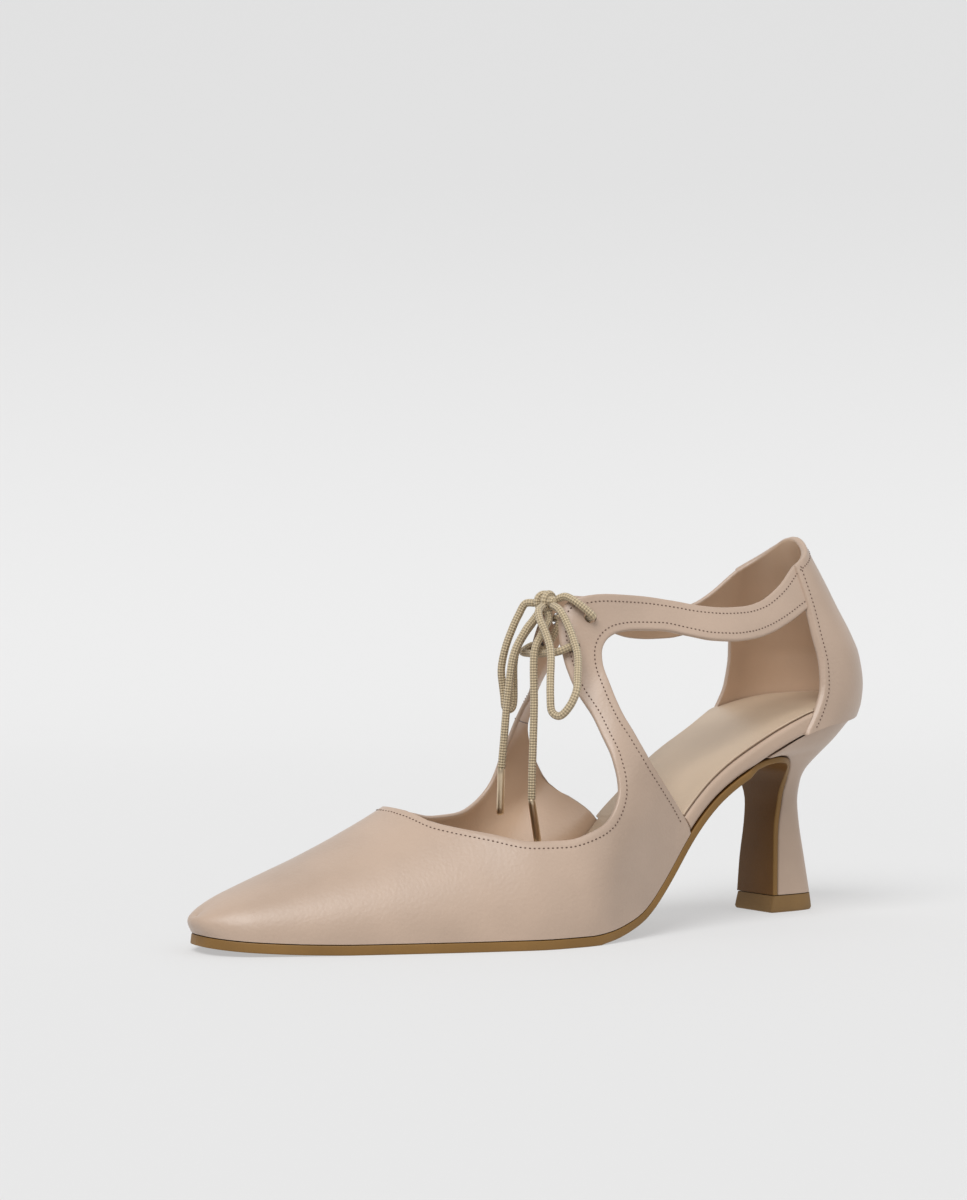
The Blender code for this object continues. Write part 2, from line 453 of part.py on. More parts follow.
def upper_mesh():
    """The upper as one hollow solid: its outer skin, its lining and the cut edges between."""
    skin = bmesh.new()
    skin.verts.layers.float.new("lift")
    for side in ("lateral", "medial"):
        outward = side == "medial"
        toe = toe_grid(side)
        add_grid(skin, toe, [0] * len(toe), outward)
        rest = side_grid(side)
        add_grid(skin, rest, [0] * len(rest), outward)
        heel = counter_grid(side)
        lifts = [0] + [COUNTER_STEP] * (len(heel) - 1)
        add_grid(skin, heel, lifts, outward)
    bmesh.ops.remove_doubles(skin, verts=skin.verts[:], dist=WELD)
    skin.normal_update()
    layer = skin.verts.layers.float["lift"]
    skin.verts.ensure_lookup_table()
    solid = bmesh.new()
    outer = [solid.verts.new(v.co + v.normal * v[layer]) for v in skin.verts]
    inner = [solid.verts.new(v.co - v.normal * WALL) for v in skin.verts]
    for face in skin.faces:
        ids = [v.index for v in face.verts]
        solid.faces.new([outer[i] for i in ids])
        solid.faces.new([inner[i] for i in reversed(ids)])
    for edge in skin.edges:
        if edge.is_boundary:
            a, b = [v.index for v in edge.verts]
            solid.faces.new([outer[a], outer[b], inner[b], inner[a]])
    skin.free()
    bmesh.ops.recalc_face_normals(solid, faces=solid.faces[:])
    return solid


def loft(rings):
    """A closed solid through rings of points, with a cap at each end."""
    solid = bmesh.new()
    loops = [[solid.verts.new(p) for p in ring] for ring in rings]
    count = len(loops[0])
    for a, b in zip(loops, loops[1:]):
        for i in range(count):
            k = (i + 1) % count
            solid.faces.new([a[i], a[k], b[k], b[i]])
    solid.faces.new(loops[0])
    solid.faces.new(loops[-1][::-1])
    bmesh.ops.remove_doubles(solid, verts=solid.verts[:], dist=WELD)
    bmesh.ops.recalc_face_normals(solid, faces=solid.faces[:])
    return solid


def inset(x, z, side, depth):
    """Pattern position across of a line that runs the given depth inside the last's wall."""
    d = SLOPE_STEP
    slope_x = (half_width(x + d, z, side) - half_width(x - d, z, side)) / (2 * d)
    slope_z = (half_width(x, z + d, side) - half_width(x, z - d, side)) / (2 * d)
    move = depth / ACROSS * math.hypot(1, slope_x, slope_z)
    wide = half_width(x, z, side)
    centre = curve(LAST, x, "x", "ridge")
    if side == "lateral":
        return min(wide + move, centre - NARROWEST)
    return max(wide - move, centre + NARROWEST)


def rear_inset(x, z, wide, depth):
    """Half width of that inner line round the back of the counter."""
    back = curve(BACK, z, "z", "x")
    whole = half_width(0, z, "medial")
    centre = back - whole
    if x <= centre:
        return wide
    radius = whole - depth / ACROSS
    return min(wide, math.sqrt(max(radius * radius - (x - centre) ** 2, NARROWEST ** 2)))


def board_width(x, z, side, inside, extra):
    """Where the board's edge stands across: inside the wall, or level with it where it is open."""
    depth = (WALL + GAP if inside else 0) + extra
    wide = inset(x, z, side, depth)
    if x > 0 and inside:
        sign = -1 if side == "lateral" else 1
        wide = sign * rear_inset(x, z, abs(wide), depth)
    return wide


def layer(extra, from_seat, under, thickness):
    """A board or sock laid along the footbed: its lower face, its upper face and its edge."""
    rings = []
    for row in BOARD:
        low = Vector((row["x0"] * ALONG, 0, place(0, 0, seat(row["x0"])).z))
        high = Vector((row["x1"] * ALONG, 0, place(0, 0, curve(FOOTBED, row["x1"], "x", "z")).z))
        rise = (high - low).normalized()
        top = high - rise * under
        foot = low if from_seat else top - rise * thickness
        ring = []
        for point, side in ((foot, "lateral"), (top, "lateral"), (top, "medial"), (foot, "medial")):
            x = point.x / ALONG
            z = (point.z - SOLE_THICKNESS) / UPWARD + PATTERN_BALL_SEAT
            y = board_width(x, z, side, row[side], extra)
            ring.append(Vector((point.x, y * ACROSS, point.z)))
        rings.append(ring)
    return loft(rings)


def sole_rings():
    """The outsole's strip from the toe through the waist and down the heel's front."""
    path = []
    for x in SOLE_FRONT:
        z = seat(x)
        spot = place(x, 0, z)
        path.append((spot.x, spot.z - GAP, half_width(x, z, "lateral"), half_width(x, z, "medial")))
    for row in BREAST:
        spot = place(row["x"], 0, row["z"])
        path.append((spot.x, spot.z, -row["wide"], row["wide"] * kept(row["x"])))
    flat = [i for i, x in enumerate(SOLE_FRONT) if FLAT_FROM <= x <= FLAT_TO]
    rings = []
    for i, (x, z, lateral, medial) in enumerate(path):
        a = path[max(i - 1, 0)]
        b = path[min(i + 1, len(path) - 1)]
        run = math.hypot(b[0] - a[0], b[1] - a[1])
        down = ((b[1] - a[1]) / run, -(b[0] - a[0]) / run)
        fall = min(max((x / ALONG - FLAT_TO) / (WAIST_FROM - FLAT_TO), 0), 1)
        thick = mix(SOLE_THICKNESS - GAP, WAIST_THICKNESS, fall)
        if i >= len(SOLE_FRONT):
            thick = FLAP_THICKNESS
        foot = (x + down[0] * thick, max(z + down[1] * thick, 0))
        if i in flat:
            foot = (x, 0)
        if i == len(path) - 1:
            foot = (x - thick, z)
        rings.append([Vector((x, lateral * ACROSS, z)), Vector((foot[0], lateral * ACROSS, foot[1])),
                      Vector((foot[0], medial * ACROSS, foot[1])), Vector((x, medial * ACROSS, z))])
    return rings


def slice_ring(row, lower):
    """A slice of the heel: flat front, rounded back, leaning with the seat near its top."""
    ring = []
    for i in range(HEEL_ROUND + 1):
        angle = math.pi * (i / HEEL_ROUND - 0.5)
        share = abs(math.cos(angle)) ** (2 / row["square"])
        side = math.copysign(abs(math.sin(angle)) ** (2 / row["square"]), angle)
        if i in (0, HEEL_ROUND):
            share = 0
        x = mix(row["xf"], row["xb"], share)
        chord = mix(row["zf"], row["zb"], share)
        ends = mix(seat(row["xf"]), seat(row["xb"]), share)
        z = chord + (seat(x) - ends) * row["seat"]
        across = side if side < 0 else side * kept(x)
        point = place(x, row["wide"] * across, z)
        if lower:
            point.z = max(z * lower, 0)
        ring.append(point)
    return ring


def tube(points, diameter, sides):
    """A round cord through the points, smoothed, with closed ends."""
    curve_data = bpy.data.curves.new("cord", "CURVE")
    curve_data.dimensions = "3D"
    curve_data.bevel_depth = diameter / 2
    curve_data.bevel_resolution = sides
    curve_data.use_fill_caps = True
    spline = curve_data.splines.new("POLY")
    spline.points.add(len(points) - 1)
    for target, point in zip(spline.points, points):
        target.co = (*point, 1)
    holder = bpy.data.objects.new("cord", curve_data)
    mesh = bpy.data.meshes.new_from_object(holder)
    bpy.data.objects.remove(holder)
    solid = bmesh.new()
    solid.from_mesh(mesh)
    bpy.data.meshes.remove(mesh)
    bmesh.ops.remove_doubles(solid, verts=solid.verts[:], dist=WELD)
    bmesh.ops.recalc_face_normals(solid, faces=solid.faces[:])
    return solid


def smooth_line(points, between):
    """Points spaced along a smooth line through the given ones."""
    out = []
    for i in range(len(points) - 1):
        p0 = points[max(i - 1, 0)]
        p1 = points[i]
        p2 = points[i + 1]
        p3 = points[min(i + 2, len(points) - 1)]
        for k in range(between):
            t = k / between
            a = p1 * 2 + (p2 - p0) * t
            b = (p0 * 2 - p1 * 5 + p2 * 4 - p3) * t * t
            c = (p1 * 3 - p0 - p2 * 3 + p3) * t ** 3
            out.append((a + b + c) / 2)
    out.append(points[-1])
    return out


def off_knot(point):
    """Where a cord that runs to the point leaves the knot's skin."""
    centre = place(KNOT_CENTRE["x"], KNOT_CENTRE["y"], KNOT_CENTRE["z"])
    way = (point - centre).normalized()
    half = (KNOT_SIZE["x"] * ALONG, KNOT_SIZE["y"] * ACROSS, KNOT_SIZE["z"] * UPWARD)
    reach = 1 / math.hypot(way.x / half[0], way.y / half[1], way.z / half[2])
    return centre + way * (reach + KNOT_CLEARANCE)


def cord_line(table, between, knot_ends):
    """A cord's centre line; knot_ends counts the ends that set off from the knot."""
    points = [place(row["x"], row["y"], row["z"]) for row in table]
    if knot_ends > 0:
        points.insert(0, off_knot(points[0]))
    if knot_ends > 1:
        points.append(off_knot(points[-1]))
    return smooth_line(points, between)


def hole_frame(hole, side):
    """Centre of a lace hole on the strap's outer face and the way out of the shoe there."""
    d = SLOPE_STEP
    centre = wall_point(hole["x"], hole["z"], side)
    along = wall_point(hole["x"] + d, hole["z"], side) - wall_point(hole["x"] - d, hole["z"], side)
    up = wall_point(hole["x"], hole["z"] + d, side) - wall_point(hole["x"], hole["z"] - d, side)
    out = along.cross(up).normalized()
    if (out.y > 0) == (side == "lateral"):
        out = -out
    return centre, out


def lace_half(side):
    """Half of the crossings: from the knot over the arm, in, down behind it, out and across."""
    sign = -1 if side == "lateral" else 1
    high, high_out = hole_frame(UPPER_HOLE, side)
    low, low_out = hole_frame(LOWER_HOLE, side)
    over = LACE_DIAMETER / 2 + LACE_CLEARANCE
    behind = WALL + LACE_DIAMETER / 2 + LACE_CLEARANCE
    over_line = [place(row["x"], -sign * row["y"], row["z"]) for row in CROSSING_OVER]
    over_line.insert(0, off_knot(over_line[0]))
    bar_line = [place(row["x"], -sign * row["y"], row["z"]) for row in CROSSING_BAR[:2]]
    return over_line + [high + high_out * over, high, high - high_out * behind,
                        (high - high_out * (behind + GAP) + low - low_out * (behind + GAP)) / 2,
                        low - low_out * behind, low, low + low_out * over] + bar_line


def crossing_line():
    """The whole of the crossings, from one side of the knot to the other."""
    middle = CROSSING_BAR[2]
    bar = [place(middle["x"], middle["y"], middle["z"])]
    return smooth_line(lace_half("lateral") + bar + lace_half("medial")[::-1], CORD_STEPS)


def make_material(name, colour, roughness, metallic):
    material = bpy.data.materials.new(name)
    material.use_nodes = True
    shader = material.node_tree.nodes["Principled BSDF"]
    shader.inputs["Base Color"].default_value = (*colour, 1)
    shader.inputs["Roughness"].default_value = roughness
    shader.inputs["Metallic"].default_value = metallic
    material.diffuse_color = (*colour, 1)
    return material


def make_object(name, solid, collection, material):
    mesh = bpy.data.meshes.new(name)
    solid.to_mesh(mesh)
    solid.free()
    thing = bpy.data.objects.new(name, mesh)
    collection.objects.link(thing)
    if material is not None:
        mesh.materials.append(material)
    return thing


def punch(upper, cutters):
    """Cut the lace holes through the straps."""
    for side in ("lateral", "medial"):
        for label, hole in (("upper", UPPER_HOLE), ("lower", LOWER_HOLE)):
            centre, out = hole_frame(hole, side)
            solid = bmesh.new()
            turn = out.to_track_quat("Z", "Y").to_matrix().to_4x4()
            turn.translation = centre
            bmesh.ops.create_cone(solid, cap_ends=True, segments=HOLE_SIDES, radius1=LACE_HOLE_DIAMETER / 2,
                                  radius2=LACE_HOLE_DIAMETER / 2, depth=WALL * 5, matrix=turn)
            cutter = make_object("cut_" + label + "_" + side, solid, cutters, None)
            cutter.hide_render = True
            cutter.display_type = "WIRE"
            modifier = upper.modifiers.new("hole_" + label + "_" + side, "BOOLEAN")
            modifier.object = cutter
            modifier.operation = "DIFFERENCE"
            modifier.solver = "EXACT"


def knot_mesh():
    solid = bmesh.new()
    bmesh.ops.create_uvsphere(solid, u_segments=KNOT_SIDES, v_segments=KNOT_RINGS, radius=1)
    for vert in solid.verts:
        co = vert.co
        vert.co = place(KNOT_CENTRE["x"] + co.x * KNOT_SIZE["x"], KNOT_CENTRE["y"] + co.y * KNOT_SIZE["y"],
                        KNOT_CENTRE["z"] + co.z * KNOT_SIZE["z"])
    return solid


def main():
    for thing in list(bpy.data.objects):
        bpy.data.objects.remove(thing)
    shoe = bpy.data.collections.new("lace_up_heel")
    cutters = bpy.data.collections.new("cutters")
    bpy.context.scene.collection.children.link(shoe)
    bpy.context.scene.collection.children.link(cutters)
    leather = make_material("upper_leather", (0.62, 0.45, 0.37), 0.5, 0)
    board = make_material("board_wrap", (0.6, 0.4, 0.32), 0.5, 0)
    sock = make_material("sock_leather", (0.6, 0.47, 0.36), 0.6, 0)
    sole = make_material("sole_rubber", (0.22, 0.12, 0.05), 0.6, 0)
    heel = make_material("heel_wrap", (0.6, 0.44, 0.36), 0.5, 0)
    tread = make_material("top_piece_rubber", (0.2, 0.12, 0.06), 0.7, 0)
    lace = make_material("lace_cotton", (0.5, 0.4, 0.22), 0.85, 0)
    metal = make_material("aglet_metal", (0.6, 0.45, 0.28), 0.3, 1)

    upper = make_object("upper", upper_mesh(), shoe, leather)
    punch(upper, cutters)
    slant = SOCK_THICKNESS + GAP
    make_object("insole_board", layer(0, True, slant, 0), shoe, board)
    make_object("insole_sock", layer(GAP, False, 0, SOCK_THICKNESS), shoe, sock)
    make_object("outsole", loft(sole_rings()), shoe, sole)
    make_object("heel_block", loft([slice_ring(row, 0) for row in HEEL]), shoe, heel)
    lift = place(0, 0, TOP_PIECE[0]["zf"]).z / TOP_PIECE[0]["zf"]
    make_object("top_piece", loft([slice_ring(row, lift) for row in TOP_PIECE]), shoe, tread)
    make_object("lace_crossings", tube(crossing_line(), LACE_DIAMETER, LACE_RESOLUTION), shoe, lace)
    make_object("lace_knot", knot_mesh(), shoe, lace)
    cords = (("lace_loop_lateral", LOOP_LATERAL, 2), ("lace_loop_medial", LOOP_MEDIAL, 2),
             ("lace_end_lateral", END_LATERAL, 1), ("lace_end_medial", END_MEDIAL, 1))
    for name, table, ends in cords:
        line = cord_line(table, CORD_STEPS, ends)
        make_object(name, tube(line, LACE_DIAMETER, LACE_RESOLUTION), shoe, lace)
    tips = (("aglet_lateral", AGLET_LATERAL), ("aglet_medial", AGLET_MEDIAL))
    for name, table in tips:
        make_object(name, tube(cord_line(table, 1, 0), AGLET_DIAMETER, LACE_RESOLUTION), shoe, metal)


main()
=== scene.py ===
import math

import bmesh
import bpy
from mathutils import Matrix, Vector
from mathutils.bvhtree import BVHTree


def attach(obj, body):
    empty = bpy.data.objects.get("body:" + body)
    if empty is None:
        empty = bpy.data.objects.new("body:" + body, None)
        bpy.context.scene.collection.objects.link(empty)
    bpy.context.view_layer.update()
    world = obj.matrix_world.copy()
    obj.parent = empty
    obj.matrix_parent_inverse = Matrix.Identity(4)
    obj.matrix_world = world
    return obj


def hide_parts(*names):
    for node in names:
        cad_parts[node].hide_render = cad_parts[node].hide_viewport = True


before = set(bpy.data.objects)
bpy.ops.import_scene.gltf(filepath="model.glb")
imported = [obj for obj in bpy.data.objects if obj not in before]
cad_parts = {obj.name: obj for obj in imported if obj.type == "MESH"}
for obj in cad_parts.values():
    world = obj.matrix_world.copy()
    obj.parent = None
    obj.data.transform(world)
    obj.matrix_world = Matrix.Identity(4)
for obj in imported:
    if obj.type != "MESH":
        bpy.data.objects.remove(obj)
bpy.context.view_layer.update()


def as_rows(keys, values):
    """A table whose rows hold their values under the given keys."""
    return [dict(zip(keys.split(), row)) for row in values]


# Sizes of the shoe, metres.
LENGTH = 0.2464
BALL_WIDTH = 0.0812
HEEL_RISE = 0.0646
SOLE_THICKNESS = 0.0032
WAIST_THICKNESS = 0.0024
FLAP_THICKNESS = 0.0019
WALL = 0.0016
COUNTER_STEP = 0.0008
SOCK_THICKNESS = 0.0009
GAP = 0.0003
LACE_DIAMETER = 0.0025
LACE_HOLE_DIAMETER = 0.0042
AGLET_DIAMETER = 0.0024

# The pattern's own length, ball width and rise, millimetres, and its seat line at the ball.
PATTERN_LENGTH = 246.4
PATTERN_WIDTH = 81.2
PATTERN_RISE = 64.6
PATTERN_BALL_SEAT = 3.2
ALONG = LENGTH / PATTERN_LENGTH
ACROSS = BALL_WIDTH / PATTERN_WIDTH
UPWARD = HEEL_RISE / PATTERN_RISE

# Pattern millimetres: the counter's arc length, the least half width of a board inside the wall,
# the flat stretch of the sole, where the waist's thickness starts, and the step used for slopes.
COUNTER_ARC = 50
NARROWEST = 3
FLAT_FROM = -180
FLAT_TO = -104
WAIST_FROM = -82
SLOPE_STEP = 0.4

# Pattern millimetres above the seat line: the inner wall's tuck holds to here, then fades out.
TUCK_HOLD = 9
TUCK_FADE = 22

# How far a cord stands off the knot and the leather, metres.
KNOT_CLEARANCE = GAP * 1.4
LACE_CLEARANCE = GAP * 2
WELD = GAP / 15

# Seat line: height of the sole's upper face along the shoe.
SEAT = as_rows("x z", (
    (-216, 5.9), (-209, 5.0), (-200, 4.2), (-188, 3.5), (-175, 3.2), (-108, 3.2), (-99, 3.9), (-91, 5.6),
    (-84.7, 7.7), (-79.7, 10.7), (-73.6, 15.9), (-67.5, 22), (-62.7, 27.3), (-58.5, 31.8), (-53.5, 36.6),
    (-46.5, 42.2), (-38, 47.3), (-29, 51.7), (-21.3, 55.4), (-9, 60.7), (1, 63.6), (12, 65.4), (24, 67.2),
    (32, 67.9),
))

# Footbed line: height of the sock's upper face along the shoe.
FOOTBED = as_rows("x z", (
    (-216, 8.7), (-209, 7.8), (-200, 7), (-188, 6.3), (-175, 6), (-108, 6), (-100, 6.8), (-90, 9.7),
    (-85, 12.3), (-80, 16.2), (-75, 21.5), (-70, 27.6), (-64.3, 35), (-56.8, 42.2), (-49.8, 47.8),
    (-42.7, 52.4), (-35.5, 56.3), (-28.6, 59.7), (-19.5, 63.8), (-5.3, 69), (5, 71.6), (15, 73.6),
    (32, 75.2),
))

# The last: toe bulge, ridge height, outer and inner edge at the seat line, the ridge's own
# line across, roundness, share of the instep's cone, and how far the straight part climbs.
LAST = as_rows("x nose top lateral medial ridge round cone base", (
    (-213, 2, 10.8, 8.6, 8.6, 8.6, 2.6, 0, 0), (-212.5, 1.8, 11.3, 3.4, 13, 8.7, 2.6, 0, 0),
    (-211.3, 1.4, 12.3, 0, 16, 8.8, 2.5, 0, 0), (-208.5, 0.7, 14.1, -4.2, 19.8, 9, 2.4, 0, 0),
    (-204, 0.2, 16.3, -8.2, 23.6, 9.1, 2.3, 0, 0), (-198, 0, 18.6, -11.4, 27, 9.2, 2.2, 0, 0),
    (-190, 0, 21.6, -15.2, 30.4, 9.2, 2.1, 0, 0), (-178, 0, 26.2, -20.8, 33.8, 9, 2, 0, 0),
    (-164, 0, 32.6, -27, 36.2, 8.8, 1.85, 0, 0), (-150, 0, 39.8, -32.9, 37.4, 8.6, 1.75, 0, 0),
    (-137, 0, 48, -38, 37, 7.6, 1.65, 0, 0), (-120, 0, 61.5, -43.2, 36, 5, 1.6, 0.1, 0),
    (-109, 0, 75, -43.6, 35, 2.5, 1.55, 0.4, 0), (-104, 0, 84, -43, 35, 1.5, 1.5, 0.7, 0),
    (-97, 0, 98.5, -41.2, 35, 0.5, 1.5, 1, 0), (-92, 0, 111, -39.7, 35, 0, 1.5, 1, 0),
    (-84, 0, 127, -37, 34.4, 0, 1.5, 1, 0), (-75, 0, 138, -34, 33, 0, 1.5, 1, 0),
    (-60, 0, 146, -30, 29.8, 0, 1.5, 1, 0), (-45, 0, 148, -28.2, 28.2, 0, 1.5, 1, 2),
    (-35, 0, 147.5, -27.6, 27.6, 0, 1.5, 1, 2), (-20, 0, 145, -27.4, 27.4, 0, 1.5, 0.5, 1),
    (-8, 0, 142, -27.4, 27.4, 0, 1.5, 0, 2), (0, 0, 141, -27.5, 27.5, 0, 1.5, 0, 0.6),
    (40, 0, 141, -27.5, 27.5, 0, 1.5, 0, -3.8),
))

# The instep's cone: share of each half width left at each share of the height.
CONE = as_rows("up lateral medial", (
    (0, 1, 1), (0.2, 0.99, 1), (0.35, 0.93, 0.98), (0.45, 0.82, 0.92), (0.51, 0.71, 0.81),
    (0.56, 0.61, 0.7), (0.605, 0.53, 0.58), (0.65, 0.45, 0.44), (0.71, 0.375, 0.34), (0.77, 0.32, 0.3),
    (0.89, 0.2, 0.2), (1, 0, 0),
))

# Share of the inner half width that the waist's arch takes off at the footbed.
TUCK = as_rows("x lost", (
    (-112, 0), (-104, 0.03), (-97, 0.09), (-90, 0.19), (-82, 0.33), (-74, 0.45), (-66, 0.52), (-57, 0.55),
    (-50, 0.5), (-42, 0.43), (-36, 0.38), (-26.5, 0.32), (-20, 0.25), (-13, 0.13), (-8, 0.04), (-4, 0),
))

# The back of the counter in side view.
BACK = as_rows("z x", (
    (60, 24.4), (63, 25.6), (66, 27.6), (72, 30.4), (78.7, 31.4), (87.4, 30.3), (94.4, 27.3), (103, 22.3),
    (113.4, 16.7), (123, 11.5), (128.4, 9.2), (134, 8),
))

# The counter's front edge and its collar, from the front edge (0) to the back seam (1).
COUNTER_FRONT = as_rows("z x", (
    (61, -9.2), (65.4, -6.2), (70.7, -2.9), (77, -0.4), (85, 0.3), (94.1, -0.8), (103.2, -1.5),
    (110.4, -2.4), (118.3, -3.4),
))
COLLAR = as_rows("turn z", (
    (0, 117.4), (0.3, 121.6), (0.6, 125.6), (0.85, 128), (1, 128.4),
))
COUNTER_FOOT_Z = 61
STRAP_FOOT_Z = 103.6
COLLAR_FRONT_Z = 117.4

# Stations of the toe, from the tip to the throat.
TOE = [-213, -212.5, -211.3, -208.5, -204, -198, -190, -180, -169, -158, -149]

# Stations behind the throat: lower edge, upper edge, and how far the strips bow to the ridge.
# The lower edge is the seat line, then the side opening, then the strap's lower edge; the upper
# edge is the topline, then the facing, then the strap's upper edge. The seat line's rows come first.
SEAT_ROWS = 12
OUTER_SIDE = as_rows("x0 z0 x1 z1 bow", (
    (-143, 3.2, -147.2, 39.2, 1), (-137, 3.2, -144.4, 36.6, 0.8), (-131, 3.2, -139.8, 35.1, 0.5),
    (-124, 3.2, -132, 33.3, 0.2), (-116, 3.2, -122, 31, 0), (-107, 3.2, -112, 31.2, 0),
    (-98, 4.1, -103.5, 33.5, 0), (-89, 6.2, -97, 37, 0), (-80, 10.5, -93.1, 41.7, 0),
    (-72, 17.4, -91.2, 46.4, 0), (-65, 24.8, -90.7, 51.5, 0), (-59.7, 30.6, -90.7, 57, 0),
    (-64.7, 38.2, -91.1, 62, 0), (-72.4, 47, -91.4, 67, 0), (-78, 54.4, -92.2, 71.5, 0),
    (-81.8, 62.2, -93.5, 76.5, 0), (-83.9, 69.5, -94.4, 81.3, 0), (-84.5, 77, -94.9, 86, 0),
    (-84.8, 83, -95, 91, 0), (-84.2, 88, -94.3, 96.3, 0), (-81.7, 92.5, -92.8, 101.3, 0),
    (-76.6, 95.3, -89.2, 105.2, 0), (-69.5, 96.1, -79, 106.8, 0), (-61, 96, -66, 106.3, 0),
    (-52.5, 94.4, -54.5, 104.9, 0), (-44, 92.9, -45, 103.4, 0), (-35.6, 92.6, -36.5, 102.9, 0),
    (-27, 93.4, -28.2, 103.3, 0), (-18.5, 95.6, -20.2, 105.2, 0), (-10.2, 99.1, -12.6, 109.6, 0),
))
INNER_SIDE = as_rows("x0 z0 x1 z1 bow", (
    (-143, 3.2, -147.2, 39.9, 1), (-137, 3.2, -144.4, 38.6, 0.8), (-131, 3.2, -139.6, 37.7, 0.5),
    (-124, 3.2, -131.6, 36.8, 0.2), (-116, 3.2, -121.6, 35, 0), (-107, 3.2, -111.6, 35.4, 0),
    (-99, 3.9, -103.4, 37.9, 0), (-91, 5.6, -97.4, 41.9, 0), (-83, 8.6, -94, 46.8, 0),
    (-75, 14.7, -92.4, 51.6, 0), (-68, 21.5, -91.6, 56, 0), (-62.4, 27.6, -91, 60, 0),
    (-65.8, 33, -90.8, 63.6, 0), (-69.8, 39.4, -90.7, 67.2, 0), (-76, 48.8, -91, 71.3, 0),
    (-80.3, 57, -92, 75.9, 0), (-82.8, 64.6, -93.2, 80.6, 0), (-84, 72, -94.4, 85.5, 0),
    (-84.6, 79.4, -95, 91, 0), (-84.2, 86.4, -94.3, 96.3, 0), (-81.9, 92, -92.8, 101.3, 0),
    (-76.6, 95.7, -89.2, 105.2, 0), (-69.5, 97.1, -79, 106.8, 0), (-61, 97.3, -66, 106.3, 0),
    (-52.5, 95.8, -54.5, 104.9, 0), (-44, 94.3, -45, 103.4, 0), (-35.6, 93.8, -36.5, 102.9, 0),
    (-27, 94.1, -28.2, 103.3, 0), (-18.5, 95.9, -20.2, 105.2, 0), (-10.2, 99.1, -12.6, 109.6, 0),
))

# Lace holes on the straps, the same on both sides.
UPPER_HOLE = dict(x=-85.4, z=99.6)
LOWER_HOLE = dict(x=-92, z=90.1)

# Sole along the breast and down the heel's front: path and half width.
BREAST = as_rows("x z wide", (
    (-29, 51.4, 26), (-23, 53, 25), (-17.4, 53.6, 24), (-12.6, 53.1, 22), (-9.5, 51.9, 19.8),
    (-6.7, 50, 16.6), (-4.85, 47.5, 13.8), (-3.85, 44, 11.2), (-3.75, 38, 8.9), (-4.7, 29.6, 8.3),
    (-5.95, 17.4, 9.3), (-6.65, 5.9, 9.9),
))
SOLE_FRONT = [-213, -212.5, -211.3, -208.5, -204, -198, -190, -178, -164, -150, -137, -124, -112,
              -104, -98, -92, -87, -82, -77, -71, -65, -59.5, -53, -46, -39, -34]

# Heel block: front and back of each slice, half width, squareness and share of the seat's curve.
HEEL = as_rows("xf zf xb zb wide square seat", (
    (-24.2, 53.75, 28.2, 67.3, 27, 2.6, 1), (-23.4, 53.4, 26.7, 65.8, 26.6, 2.5, 0.8),
    (-17.4, 54, 22.6, 62, 24.8, 2.4, 0.5), (-12.3, 53.5, 17.7, 57.4, 21.6, 2.4, 0.2),
    (-9.2, 52.2, 12.9, 53.8, 19.2, 2.5, 0), (-6.4, 50.3, 9.8, 51, 16.5, 2.6, 0),
    (-4.5, 47.6, 7.8, 48.3, 13.7, 2.7, 0), (-3.5, 44, 6.7, 44.4, 11.1, 2.9, 0),
    (-3.4, 38, 6.7, 38, 8.8, 3.1, 0), (-4.35, 29.6, 7.7, 29.6, 8.2, 3.4, 0),
    (-5.6, 17.4, 9.4, 17.4, 9.2, 3.7, 0), (-6.3, 5.9, 11.2, 5.9, 9.8, 4, 0),
))
TOP_PIECE = as_rows("xf zf xb zb wide square seat", (
    (-8.4, 5.6, 11.3, 5.6, 10, 4, 0), (-9.7, 0.9, 12, 0.9, 10.3, 4, 0), (-9.3, 0, 11.6, 0, 9.9, 4, 0),
))

# Insole board: foot and head of each cross section, and whether the upper's wall stands there on
# the outer and the inner side.
BOARD = as_rows("x0 x1 lateral medial", (
    (-209.5, -209.5, 1, 1), (-208, -208, 1, 1), (-205, -205, 1, 1), (-200, -200, 1, 1),
    (-192, -192, 1, 1), (-180, -180, 1, 1), (-164, -164, 1, 1), (-148, -148, 1, 1), (-132, -132, 1, 1),
    (-120, -120, 1, 1), (-108, -108, 1, 1), (-100, -100.5, 1, 1), (-93, -94.5, 1, 1), (-87, -89.5, 1, 1),
    (-81, -84.5, 1, 1), (-75, -79.5, 1, 1), (-69.5, -74.7, 1, 1), (-65, -69.6, 1, 1),
    (-61.5, -65.8, 1, 1), (-61.1, -65.4, 1, 0), (-59.2, -62.9, 1, 0), (-58.8, -62.5, 0, 0),
    (-54, -58.2, 0, 0), (-47, -52, 0, 0), (-39, -43, 0, 0), (-30, -32.5, 0, 0), (-21, -21, 0, 0),
    (-9.9, -4.6, 0, 0), (-9.7, -4.4, 1, 1), (-3, 1, 1, 1), (4, 7, 1, 1), (11, 12.5, 1, 1),
    (16, 17.5, 1, 1), (20, 21.5, 1, 1), (22.6, 24.6, 1, 1), (23.9, 26.4, 1, 1),
))

